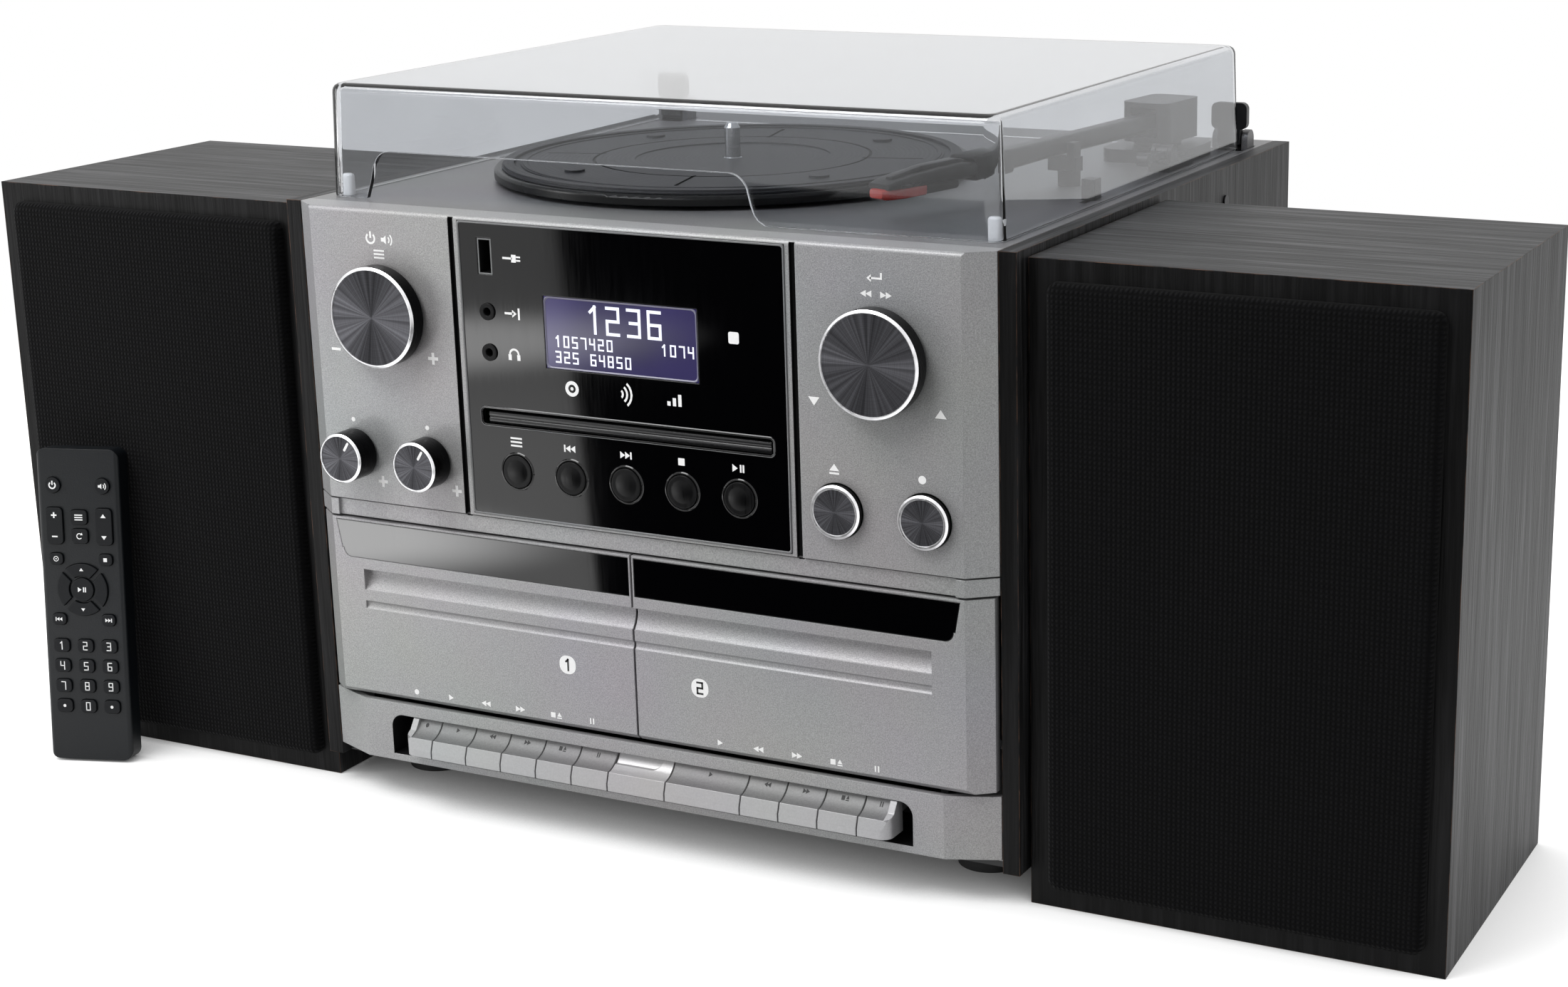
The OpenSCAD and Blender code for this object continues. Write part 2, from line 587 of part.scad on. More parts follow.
module plain_key(x0, n = 1) color("#a3a4a6") seat() key(x0, x0 + n * key_pitch);
module key_a_record() color("#a3a4a6") seat() key(key_x0 - end_key_w, key_x0, -1);
module key_a_play() plain_key(key_x0);
module key_a_rewind() plain_key(key_x0 + key_pitch);
module key_a_forward() plain_key(key_x0 + 2 * key_pitch);
module key_a_stop() plain_key(key_x0 + 3 * key_pitch);
module key_a_pause() plain_key(key_x0 + 4 * key_pitch);
module key_b_play() plain_key(key_x1, 2);
module key_b_rewind() plain_key(key_x1 + 2 * key_pitch);
module key_b_forward() plain_key(key_x1 + 3 * key_pitch);
module key_b_stop() plain_key(key_x1 + 4 * key_pitch);
module key_b_pause() color("#a3a4a6") seat()
  key(key_x1 + 5 * key_pitch, key_x1 + 5 * key_pitch + end_key_w, 1);

// ---------- buttons and knobs ----------
// a button face on a stem that ends just short of its switch
module button(x, r, out) color("#1a1a1e") seat() translate([x, 0, row_z]) {
  rod_y(0, 0, r, 0.6 - out, 6);
  intersection() {
    rod_y(0, 0, r, -out, 2);
    translate([0, 3 * r - out, 0]) sphere(3 * r);
  }
  rod_y(0, 0, 2.5, 5.9, 12 - press_in - 0.2);
}
module front_button_1() button(-2 * button_pitch, button_r, 1.2);
module front_button_2() button(-button_pitch, button_r, 1.2);
module front_button_3() button(0, button_r, 1.2);
module front_button_4() button(button_pitch, button_r, 1.2);
module front_button_5() button(2 * button_pitch, button_r, 1.2);
module eject_button() button(knob_x - pair_half, push_r, 3.5);
module record_button() button(knob_x + pair_half, push_r, 3.5);

// hollow turned knob body with a bevelled front edge
module knob_body(r, out, back) rotate([90, 0, 0]) rotate_extrude()
  polygon([[0, 0], [0, out - 0.4], [r - 2, out - 0.4], [r - 2, out], [r - 0.9, out], [r, out - 0.9],
    [r, back], [r - 1.6, back], [r - 1.6, out - 2.4], [shaft_r + 2.2, out - 2.4], [shaft_r + 2.2, 0]]);
module big_knob(s) color("#b9bbbd") seat() translate([s * knob_x, 0, knob_z]) difference() {
  knob_body(knob_r, knob_out, 1.6);
  rod_y(0, 0, shaft_r + run_gap, -knob_out + 1.8, 5);
  rod_y(0, 0, shaft_r + 3, -press_in - 0.4, 5);
}
module push_shaft(s) color("#c8cacc") seat() rod_y(s * knob_x, knob_z, shaft_r, -knob_out + 2, board_y + 5);
module volume_knob() big_knob(-1);
module select_knob() big_knob(1);
module volume_shaft() push_shaft(-1);
module select_shaft() push_shaft(1);
module tone_knob(s) color("#b9bbbd") seat() translate([-knob_x + s * pair_half, 0, row_z]) {
  difference() {
    knob_body(tone_r, tone_out, 0.8);
    rod_y(0, 0, shaft_r + 3, -0.3, 5);
    slab(-0.6, 0.6, -tone_out - 1, 0.9 - tone_out, 3, tone_r + 1);
  }
  rod_y(0, 0, shaft_r, -tone_out + 2, board_y + 5);
}
module bass_knob() tone_knob(-1);
module treble_knob() tone_knob(1);

// ---------- record deck ----------
module turned(z) translate([platter_x, platter_y, z]) rotate_extrude() children();

module platter() color("#4a4b4e") seat() turned(deck_z) {
  difference() {
    translate([0, 2]) square([platter_r, 4.3]);
    translate([journal_r + 4.5, 1]) square([platter_r - journal_r - 7.5, 3.5]);
    translate([platter_r - 1.5, 4.8]) difference() { square([3, 3]); circle(1.5); }
    square([journal_r + run_gap, 8]);
  }
  translate([journal_r + run_gap, -4.7]) square([4.4, 9.4]);
  translate([ring_r - 3, -8.5]) square([3, 13.1]);
}

module platter_mat() color("#1b1b1d") seat() difference() {
  union() {
    turned(deck_z + 6.3) {
      translate([journal_r + near, 0]) square([platter_r - journal_r - near - 3.5, 0.8]);
      translate([44, 0]) square([platter_r - 56, 1.3]);
      translate([platter_r - 9, 0]) square([4.6, 1.9]);
      translate([platter_r - 15, 0]) square([2, 1.7]);
    }
    for (a = [58, 148, 238, 328]) translate([platter_x, platter_y, 0]) rotate([0, 0, a])
      rod_z(78.7, 0, 4.5, deck_z + 6.5, deck_z + 8.6);
  }
  for (a = [14, 104, 194, 284]) translate([platter_x, platter_y, 0]) rotate([0, 0, a])
    slab(60, 88, -0.8, 0.8, deck_z + 7.1, deck_z + 9);
  turned(deck_z + 7.1) translate([61.6, 0]) square([1.4, 1]);
}

// belt round the ring and the pulley: two loops and the two straight runs between them
module belt_side() {
  lean = asin((ring_r - pulley_r) / motor_reach);
  rotate(90 + lean) translate([ring_r + near + 0.15, 0]) square([0.5, motor_reach * cos(lean)]);
}
module belt() {
  difference() {
    union() {
      circle(ring_r + near + 0.8);
      translate([-motor_reach, 0]) circle(pulley_r + near + 0.8);
      belt_side();
      mirror([0, 1, 0]) belt_side();
    }
    circle(ring_r + near);
    translate([-motor_reach, 0]) circle(pulley_r + near);
  }
}

module turntable_drive() color("#c9cacc") seat() {
  turned(deck_z) {
    translate([0, -12]) square([8, 7]);
    // the thicker journal ends level with the mat, and the record's pin stands on it
    pin_top = spindle_h - 2;
    translate([0, -12]) square([journal_r, 12 + journal_top]);
    square([spindle_r, pin_top]);
    translate([0, pin_top]) polygon([[0, 0], [spindle_r, 0], [spindle_r - 1.2, 2], [0, 2]]);
  }
  translate([platter_x - motor_reach, platter_y, 0]) difference() {
    rod_z(0, 0, 14, deck_z - 36, deck_z - 14);
    rod_z(0, 0, 1.5 + run_gap, deck_z - 28, deck_z - 13);
  }
  translate([platter_x, platter_y, deck_z - 7.5]) linear_extrude(4) belt();
}

module motor_pulley() color("#c49a3a") seat() translate([platter_x - motor_reach, platter_y, 0]) {
  rod_z(0, 0, pulley_r, deck_z - 8, deck_z - 3);
  rod_z(0, 0, pulley_r + 1.2, deck_z - 9, deck_z - 8);
  rod_z(0, 0, 1.5, deck_z - 26, deck_z - 9);
}

// pieces of the arm are drawn pointing forwards from the pivot
module at_arm() translate([arm_x, arm_y, 0]) rotate([0, 0, -arm_rest_deg]) children();

module tonearm_base() color("#2a2b2e") seat() {
  difference() {
    union() {
      translate([arm_x, arm_y, deck_z]) linear_extrude(6) soft_mid(40, 46, 8);
      rod_z(arm_x, arm_y, 7.6, deck_z - 14, deck_z + 1);
      slab(lever_x - 5, lever_x + 5, lever_y - 6, arm_y - 15, deck_z, deck_z + 4);
      for (x = [-5, 3]) {
        slab(lever_x + x, lever_x + x + 2, lever_y - 4, lever_y + 4, deck_z + 3, lever_z);
        rod_x(lever_y, lever_z, 4, lever_x + x, lever_x + x + 2);
      }
    }
    rod_z(arm_x, arm_y, 3 + run_gap, deck_z - 12, deck_z + 8);
  }
  rod_x(lever_y, lever_z, 1.5, lever_x - 4, lever_x + 4);
  // arm rest, open towards the platter
  at_arm() {
    rod_z(6, -92, 5, deck_z, deck_z + 7);
    slab(-3, 11, -95, -89, deck_z + 6.5, arm_z - 4.3);
    slab(6.5, 10, -95, -89, deck_z + 6.5, arm_z + 2);
  }
}

module tonearm_yoke() color("#3a3b3f") seat() at_arm() {
  rod_z(0, 0, 3, deck_z - 11, deck_z + 8);
  rod_z(0, 0, 11, deck_z + 6.3, deck_z + 9);
  difference() {
    translate([0, 3, deck_z + 8.5]) linear_extrude(18) soft_mid(24, 34, 5);
    slab(-6.5, 6.5, -20, 14, deck_z + 11, deck_z + 24);
  }
  rod_x(0, arm_z, 1.5, -7, 7);
}

module tonearm() color("#303135") seat() at_arm() difference() {
  union() {
    wide(-4, 4) polygon([[10, arm_z - 4], [10, arm_z + 4], [-20, arm_z + 4], [-arm_len + 42, arm_z + 1.5],
      [-arm_len + 42, arm_z - 3.5], [-20, arm_z - 4]]);
    translate([0, -arm_len + 42.1, 0]) rotate([0, 0, -12]) {
      translate([0, 0, arm_z - 3.5]) linear_extrude(4) polygon([[-7, 4], [7, 4], [8.5, -20], [7, -50],
        [-7, -50], [-8.5, -20]]);
      slab(7, 15, -44, -41, arm_z - 2, arm_z - 0.5);
    }
  }
  rod_x(0, arm_z, 1.5 + run_gap, -7, 7);
}

module cartridge() color("#b03226") seat() at_arm() translate([0, -arm_len + 42.1, 0])
  rotate([0, 0, -12]) difference() {
    union() {
      slab(-5.5, 5.5, -46, -14, stylus_z + 1.6, arm_z - 3.5);
      slab(-3.5, 3.5, -49, -40, stylus_z + 0.8, stylus_z + 4);
    }
    wide(-8, 8) polygon([[-50, stylus_z + 4.2], [-45, stylus_z + 8], [-50, stylus_z + 8]]);
  }

module lift_lever() color("#2a2b2e") seat() difference() {
  union() {
    rod_x(lever_y, lever_z, 3.6, lever_x - 2.7, lever_x + 2.7);
    slab(lever_x - 2, lever_x + 2, lever_y - 24, lever_y - 2, lever_z - 1.2, lever_z + 1.2);
    rod_x(lever_y - 24, lever_z, 3, lever_x - 2.7, lever_x + 2.7);
  }
  rod_x(lever_y, lever_z, 1.5 + run_gap, lever_x - 4, lever_x + 4);
}

module speed_switch() color("#1d1e20") seat() {
  slab(switch_x - 3, switch_x + 3, switch_y - 3.5, switch_y + 3.5, deck_z + near, deck_z + 9);
  slab(switch_x - 1.4, switch_x + 1.4, switch_y - 2.5, switch_y + 2.5, deck_z - 8, deck_z + 1);
  slab(switch_x - 4, switch_x + 4, switch_y - 4, switch_y + 4, deck_z - 7, deck_z - 4 - near);
}

// ---------- dust cover ----------
module dust_cover() color("#9fb0b8", 0.35) seat() difference() {
  cover_outer();
  cover_inner();
  // finger cut-out in the front wall
  deep(cover_y0 - 1, cover_y0 + cover_t + 1) {
    translate([-cover_w / 2 + 23, cover_z0 - 20]) soft_rect(188, 20 + cut_h, 8);
    translate([-cover_w / 2 + 19.4, cover_z0 - 20]) square([100, 24]);
    translate([-cover_w / 2 + 120, cover_z0 - 20]) square([97, 24]);
  }
}
module cover_outer() intersection() {
  translate([0, cover_mid, cover_z0]) linear_extrude(cover_h) soft_mid(cover_w, cover_d, cover_r);
  deep(cover_y0 - 1, cover_y1 + 1) translate([-cover_w / 2, cover_z0 - 20])
    soft_rect(cover_w, cover_h + 20, cover_top_r);
  wide(-cover_w / 2 - 1, cover_w / 2 + 1) translate([cover_y0, cover_z0 - 20])
    soft_rect(cover_d, cover_h + 20, cover_top_r);
}
module cover_inner() intersection() {
  translate([0, cover_mid, cover_z0 - 1]) linear_extrude(cover_h + 1 - cover_t)
    soft_mid(cover_w - 2 * cover_t, cover_d - 2 * cover_t, cover_r - cover_t);
  deep(cover_y0, cover_y1) translate([-cover_w / 2 + cover_t, cover_z0 - 20])
    soft_rect(cover_w - 2 * cover_t, cover_h + 20 - cover_t, cover_top_r - cover_t);
  wide(-cover_w / 2, cover_w / 2) translate([cover_y0 + cover_t, cover_z0 - 20])
    soft_rect(cover_d - 2 * cover_t, cover_h + 20 - cover_t, cover_top_r - cover_t);
}

module hinge_arms() color("#232427") seat() mirrored() translate([hinge_x, 0, 0]) difference() {
  union() {
    deep(cover_y1, cover_y1 + 3.5) translate([-9.5, hinge_z + 5]) soft_rect(19, 12.5, 3);
    slab(-6.2, 6.2, cover_y1, cover_y1 + 3.5, hinge_z - 2, hinge_z + 8);
    rod_x(hinge_y, hinge_z, 4.2, -6.2, 6.2);
  }
  rod_x(hinge_y, hinge_z, 2 + run_gap, -7, 7);
}

// ---------- feet and screws ----------
module feet() color("#141414") seat() for (x = [-wall_x + 24, wall_x - 24], y = foot_ys) {
  difference() {
    rod_z(x, y, foot_r, 0, foot_h);
    rod_z(x, y, 4.5, -1, 5);
  }
}

module screw_y(x, z) {
  rod_y(x, z, 3.2, rear_y - 1.5, rear_y + 0.4);
  rod_y(x, z, 1.45, rear_y - 12, rear_y - 1.4);
}
module screws() color("#9a9da1") seat() {
  for (x = [-145, 145], z = [base_z + 5, shelf_z + 5]) screw_y(x, z);
  mirrored() {
    rod_x(side_screw_y, side_screw_z, 2.6, unit_w / 2, unit_w / 2 + 0.8);
    rod_x(side_screw_y, side_screw_z, 1.5, half - 3, unit_w / 2 + 0.1);
  }
  for (x = [-wall_x + 24, wall_x - 24], y = foot_ys) {
    rod_z(x, y, 1.9, foot_h, base_z + 5);
    rod_z(x, y, 4, base_z, base_z + 1.6);
  }
}

// ---------- loudspeakers ----------
module speaker_cabinet() color("#1c1b1a") seat() {
  difference() {
    slab(spk_x, spk_x + spk_w, spk_set, spk_set + spk_d, 0, spk_h);
    slab(spk_x + spk_t, spk_x + spk_w - spk_t, spk_set + spk_t, spk_set + spk_d - spk_t, spk_t,
      spk_h - spk_t);
    rod_y(spk_x + spk_w / 2, spk_h * 0.4, driver_r, spk_set - 1, spk_set + spk_t + 1);
    rod_y(spk_x + spk_w / 2, spk_h * 0.15, 6, spk_set + spk_d - spk_t - 1, spk_set + spk_d + 1);
  }
  // driver: basket, cone and magnet
  translate([spk_x + spk_w / 2, spk_set + spk_t, spk_h * 0.4]) rotate([-90, 0, 0]) rotate_extrude()
    polygon([[0, 16], [14, 16], [driver_r - 8, 2], [driver_r - 6, 0], [driver_r + 5, 0], [driver_r + 5, 2],
      [driver_r - 4, 2.4], [30, 24], [30, 44], [0, 44]]);
  // input socket
  translate([spk_x + spk_w / 2, 0, spk_h * 0.15]) difference() {
    union() {
      rod_y(0, 0, 5.9, spk_set + spk_d - spk_t - 4, spk_set + spk_d);
      rod_y(0, 0, 7.5, spk_set + spk_d, spk_set + spk_d + 1.2);
      rod_y(0, 0, 4.2, spk_set + spk_d + 1, spk_set + spk_d + rear_out);
    }
    rod_y(0, 0, 1.6, spk_set + spk_d - 6, spk_set + spk_d + rear_out + 1);
  }
}

// cloth grille with rounded front edges
module speaker_grille() color("#0d0d0e") seat() {
  r = 4;
  x0 = spk_x + grille_border;
  x1 = spk_x + spk_w - grille_border;
  z0 = grille_border;
  z1 = spk_h - grille_border;
  y0 = spk_set - grille_out;
  intersection() {
    union() {
      slab(x0 + r, x1 - r, y0, spk_set, z0 + r, z1 - r);
      slab(x0, x1, y0 + r, spk_set, z0 + r, z1 - r);
      slab(x0 + r, x1 - r, y0 + r, spk_set, z0, z1);
      for (z = [z0 + r, z1 - r]) rod_x(y0 + r, z, r, x0 + r, x1 - r);
      for (x = [x0 + r, x1 - r]) rod_z(x, y0 + r, r, z0 + r, z1 - r);
      for (x = [x0 + r, x1 - r], z = [z0 + r, z1 - r]) {
        translate([x, y0 + r, z]) sphere(r);
        rod_y(x, z, r, y0 + r, spk_set);
      }
    }
    slab(x0, x1, y0, spk_set, z0, z1);
  }
}

module speaker_right_cabinet() speaker_cabinet();
module speaker_left_cabinet() mirror([1, 0, 0]) speaker_cabinet();
module speaker_right_grille() speaker_grille();
module speaker_left_grille() mirror([1, 0, 0]) speaker_grille();

// ---------- remote control ----------
// drawn upright with its back on Y = 0, then leaned against the left grille
module leaned() seat() translate([remote_x, remote_y, 0]) rotate([0, 0, remote_turn])
  rotate([-remote_lean, 0, 0]) children();

// places of the keys: across, up, width, height
key_cols = [-11.6, 0, 11.6];
module round_keys(g) for (x = [-12, 12]) translate([x, 130]) circle(3.6 + g);
module rocker_keys(g) for (x = [-12, 12]) translate([x, 111]) soft_mid(8 + 2 * g, 17 + 2 * g, 2);
module small_keys(g) for (z = [115.2, 106.4]) translate([0, z]) soft_mid(8 + 2 * g, 6.6 + 2 * g, 1.6);
module odd_keys(g) for (x = [-12, 12], z = [95.5, 67]) translate([x, z])
  soft_mid(6.6 + 2 * g, 5.2 + 2 * g, 2);
module nav_ring(g) difference() {
  circle(12.2 + g);
  circle(6.6 - g);
  for (a = [45, 135]) rotate(a) square([40, 2.4 - 2 * g], center = true);
}
module nav_keys(g) translate([0, 81.2]) { nav_ring(g); circle(5.4 + g); }
module digit_keys(g) for (x = key_cols, i = [0 : 3]) translate([x, 54.5 - 9.6 * i])
  soft_mid(7.6 + 2 * g, 6 + 2 * g, 2);
module all_keys(g) { round_keys(g); rocker_keys(g); small_keys(g); odd_keys(g); nav_keys(g); digit_keys(g); }

module remote_case() color("#26282c") leaned() difference() {
  intersection() {
    deep(-remote_t, 0) translate([-remote_w / 2, 0]) soft_rect(remote_w, remote_h, 4.5);
    // front edges softened along the sides
    translate([0, 0, -1]) linear_extrude(remote_h + 2) translate([-remote_w / 2, -remote_t])
      union() {
        soft_rect(remote_w, remote_t, 2);
        translate([0, 2]) square([remote_w, remote_t - 2]);
      }
  }
  deep(-remote_t - 1, -remote_t + 1) all_keys(0.2);
}
module remote_keypad() color("#1b1c1f") leaned() deep(-remote_t - 1, -remote_t + 1) all_keys(0);

// Sub-part to draw, or all of them
cabinet_sides();
chassis();
rear_cover();
deck_plate();
fascia();
key_bezel();
front_panel();
display_module();
connectors();
electronics();
cd_loader();
cassette_mechanisms();
turntable_drive();
tonearm_base();
feet();
screws();
dust_cover();
hinge_arms();
platter();
platter_mat();
motor_pulley();
tonearm_yoke();
tonearm();
cartridge();
lift_lever();
speed_switch();
cassette_door_left();
cassette_door_right();
door_window_left();
door_window_right();
key_a_record();
key_a_play();
key_a_rewind();
key_a_forward();
key_a_stop();
key_a_pause();
key_b_play();
key_b_rewind();
key_b_forward();
key_b_stop();
key_b_pause();
front_button_1();
front_button_2();
front_button_3();
front_button_4();
front_button_5();
eject_button();
record_button();
volume_knob();
volume_shaft();
select_knob();
select_shaft();
bass_knob();
treble_knob();
speaker_left_cabinet();
speaker_left_grille();
speaker_right_cabinet();
speaker_right_grille();
remote_case();
remote_keypad();
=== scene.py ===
import math

import bmesh
import bpy
from mathutils import Matrix, Vector


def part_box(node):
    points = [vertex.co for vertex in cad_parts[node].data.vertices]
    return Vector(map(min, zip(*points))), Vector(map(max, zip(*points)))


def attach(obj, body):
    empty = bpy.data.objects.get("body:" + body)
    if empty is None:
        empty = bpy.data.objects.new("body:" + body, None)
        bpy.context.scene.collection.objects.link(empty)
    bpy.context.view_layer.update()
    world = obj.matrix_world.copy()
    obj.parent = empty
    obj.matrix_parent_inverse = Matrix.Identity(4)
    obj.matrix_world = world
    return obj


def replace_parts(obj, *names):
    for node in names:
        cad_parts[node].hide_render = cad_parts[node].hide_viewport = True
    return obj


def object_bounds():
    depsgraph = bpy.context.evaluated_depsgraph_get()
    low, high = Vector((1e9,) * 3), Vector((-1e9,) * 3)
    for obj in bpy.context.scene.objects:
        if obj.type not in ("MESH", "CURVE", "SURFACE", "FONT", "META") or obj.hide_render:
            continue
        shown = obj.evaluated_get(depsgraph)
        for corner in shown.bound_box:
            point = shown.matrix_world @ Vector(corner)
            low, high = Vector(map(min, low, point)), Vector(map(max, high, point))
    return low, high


bl_info = {
    "name": "Stereo music centre looks",
    "version": (1, 0, 0),
    "blender": (4, 5, 0),
    "location": "View3D > Sidebar > Music centre",
    "description": "Surfaces, marks and fine pieces of a music centre with a record deck",
    "category": "Object",
}

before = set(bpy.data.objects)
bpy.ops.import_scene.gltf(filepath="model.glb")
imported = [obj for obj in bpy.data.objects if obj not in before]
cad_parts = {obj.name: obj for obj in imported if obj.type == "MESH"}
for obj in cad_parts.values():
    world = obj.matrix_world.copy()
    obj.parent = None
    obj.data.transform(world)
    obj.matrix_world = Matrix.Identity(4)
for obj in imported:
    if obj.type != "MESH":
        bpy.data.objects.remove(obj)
CAD_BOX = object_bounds()
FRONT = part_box("front_panel")[0].y  # the flat front, where this file's y is 0

# places in mm: x right of the middle, y behind the flat front, z above the table
DECK = 268.0  # top of the deck
PLATTER = (-29.0, 145.4)  # x and y of the spindle
ARM = (131.0, 256.0)  # x and y of the tonearm's pivot
ARM_TURN = math.radians(-6.7)  # the arm on its rest
HEAD_START = -163.3  # along the arm from its pivot
HEAD_TURN = math.radians(-12)
KNOB_X, KNOB_Z = 118.0, 223.3  # the two large knobs
ROW_STEP, ROW_Z = 19.4, 160.8  # the small knobs and buttons, each side of a large knob's middle
BUTTON_STEP = 26.9  # between the five round buttons
SHAFT_WALL = 5.6  # outer radius of a knob's hub
DISPLAY_Z = 222.1
SLOT_W, SLOT_H, SLOT_Z = 140.0, 6.6, 183.7
KEY_HOLLOW = (-7.6, 45.0, 10.4)  # the cylinder that hollows the keys: y and z of its axis, and its radius
KEYS = sorted(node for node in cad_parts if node.startswith("key_") and node != "key_bezel")

# the camera that was solved from the photograph, in pixels, mm and its own three directions
PHOTO_W, PHOTO_H = 2201, 1385
FOCAL_PX = 3739.5
CENTRE_PX = (1307.81, 692.73)
CAMERA_AT = (582.7258, -893.9926, 448.8263)
CAMERA_AXES = (
    (0.89787404, 0.44002045, -0.0142901),
    (-0.10517982, 0.24591518, 0.96356781),
    (0.4275037, -0.8636595, 0.26708213),
)


def at(x, y, z):
    """A frame point in metres, from mm right of the middle, behind the flat front and above the table."""
    return Vector((x / 1000, FRONT + y / 1000, z / 1000))


def box_mm(node):
    """The two corners of a CAD node's box, in the millimetres that at() takes."""
    return [Vector((c.x * 1000, (c.y - FRONT) * 1000, c.z * 1000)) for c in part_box(node)]


def linear(code):
    """An sRGB hex colour as linear red, green, blue and full alpha."""
    parts = [int(code[i : i + 2], 16) / 255 for i in (1, 3, 5)]
    return tuple(c / 12.92 if c <= 0.04045 else ((c + 0.055) / 1.055) ** 2.4 for c in parts) + (1.0,)


class CentreSettings(bpy.types.PropertyGroup):
    """The colours and the edge radius that a user would change"""

    plastic: bpy.props.FloatVectorProperty(
        name="Front plastic", description="Colour of the moulded front and the deck",
        subtype="COLOR", size=4, min=0, max=1, default=linear("#969697"))
    veneer: bpy.props.FloatVectorProperty(
        name="Veneer", description="Middle colour of the black ash veneer",
        subtype="COLOR", size=4, min=0, max=1, default=linear("#262627"))
    backlight: bpy.props.FloatVectorProperty(
        name="Display light", description="Colour of the lit display",
        subtype="COLOR", size=4, min=0, max=1, default=linear("#231f44"))
    bead: bpy.props.FloatProperty(
        name="Edge radius", description="Radius that the light sees on moulded edges",
        subtype="DISTANCE", unit="LENGTH", default=0.0005, min=0.0001, max=0.002)


# ---------------------------------------------------------------- materials
MIX_A, MIX_B, MIX_OUT = 6, 7, 2  # a mix node's two colour inputs and its colour output, by number


def wire(tree, node, ins):
    """Sets a node's sockets, and links those whose value is an output or a node (its first output)."""
    for key, value in ins.items():
        if isinstance(value, bpy.types.Node):
            value = value.outputs[0]
        if isinstance(value, bpy.types.NodeSocket):
            tree.links.new(value, node.inputs[key])
        else:
            node.inputs[key].default_value = value


def add(tree, kind, ins=None, stops=(), **settings):
    """Adds a shader node with its attributes, sockets and, for a colour ramp, (place, colour) stops."""
    node = tree.nodes.new("ShaderNode" + kind)
    for key, value in settings.items():
        setattr(node, key, value)
    wire(tree, node, ins or {})
    if stops:
        elements = node.color_ramp.elements
        while len(elements) < len(stops):
            elements.new(0.5)
        for element, (place, colour) in zip(elements, stops):
            element.position, element.color = place, colour
    return node


def start(name, **shader):
    """A new material with its shader's plain values set on the shader itself."""
    mat = bpy.data.materials.new(name)
    mat.use_nodes = True
    bsdf = mat.node_tree.nodes["Principled BSDF"]
    wire(mat.node_tree, bsdf, {key.replace("_", " "): value for key, value in shader.items()})
    return mat, mat.node_tree, bsdf


def coords(tree, scale=(1, 1, 1)):
    """Object coordinates in metres, times the scale."""
    place = add(tree, "TexCoord")
    return add(tree, "Mapping", {"Vector": place.outputs["Object"], "Scale": scale})


def grey(value):
    """An even linear grey."""
    return (value, value, value, 1.0)


def shade(colour, k):
    """A hex or linear colour, k times as light."""
    parts = linear(colour) if isinstance(colour, str) else colour
    return tuple(min(1.0, c * k) for c in parts[:3]) + (1.0,)


def tones(colour, *pairs):
    """Ramp stops from (place, lightness) pairs of one colour."""
    return [(place, shade(colour, k)) for place, k in pairs]


def surface(tree, bsdf, colour, gloss, relief=None, bead=None):
    """Links a colour, a gloss as (source, low, high) and a relief as (source, strength, depth) to the shader.

    The relief lies on edges that the light sees rounded by the bead, or on sharp ones where the bead is 0.
    """
    source, low, high = gloss
    rough = add(tree, "MapRange", {"Value": source, "To Min": low, "To Max": high})
    wire(tree, bsdf, {"Base Color": colour, "Roughness": rough})
    if relief:
        source, strength, depth = relief
        bump = add(tree, "Bump", {"Height": source, "Strength": strength, "Distance": depth})
        if bead != 0:
            wire(tree, bump, {"Normal": rounded(tree, bead)})
        wire(tree, bsdf, {"Normal": bump})


def rounded(tree, bead=None):
    """The normal of edges rounded by the bead, or by the user's edge radius, as a mould's edges are."""
    radius = bead or bpy.context.scene.centre_settings.bead
    return add(tree, "Bevel", {"Radius": radius}, samples=4)


def moulded(name, colour, rough, grain, depth, spread=0.12, bead=None, ior=1.53, flake=0.0, shine=0.5):
    """Plastic, rubber, ink or powder: a fine even grain breaks the gloss and speckles the colour."""
    mat, tree, bsdf = start(name, Roughness=rough, IOR=ior, Metallic=flake, Specular_IOR_Level=shine)
    place = coords(tree)
    fine = add(tree, "TexNoise", {"Vector": place, "Scale": 1 / grain, "Detail": 3.0, "Roughness": 0.6})
    broad = add(tree, "TexNoise", {"Vector": place, "Scale": 14.0, "Detail": 2.0})
    speckle = add(tree, "ValToRGB", {"Fac": fine}, tones(colour, (0.3, 1 - spread), (0.7, 1 + spread)))
    tint = add(tree, "Mix", {"Factor": 0.1, MIX_A: speckle, MIX_B: broad.outputs["Color"]},
               data_type="RGBA", blend_type="SOFT_LIGHT")
    surface(tree, bsdf, tint.outputs[MIX_OUT], (broad, rough - 0.04, rough + 0.05), (fine, 0.35, depth), bead)
    return mat


def polished(name, colour, rough, ior=1.49, bead=None, shine=0.5):
    """Polished plastic: even colour, a faint long wave, and hair-fine wiping marks in the gloss."""
    mat, tree, bsdf = start(name, IOR=ior, Specular_IOR_Level=shine)
    wave = add(tree, "TexNoise", {"Vector": coords(tree), "Scale": 9.0, "Detail": 1.0})
    marks = add(tree, "TexNoise", {"Vector": coords(tree, (900, 900, 60)), "Scale": 1.0, "Detail": 2.0})
    tone = add(tree, "ValToRGB", {"Fac": marks}, tones(colour, (0.3, 0.9), (0.8, 1.15)))
    surface(tree, bsdf, tone, (marks, rough * 0.6, rough * 1.6), (wave, 0.06, 0.0008), bead)
    return mat


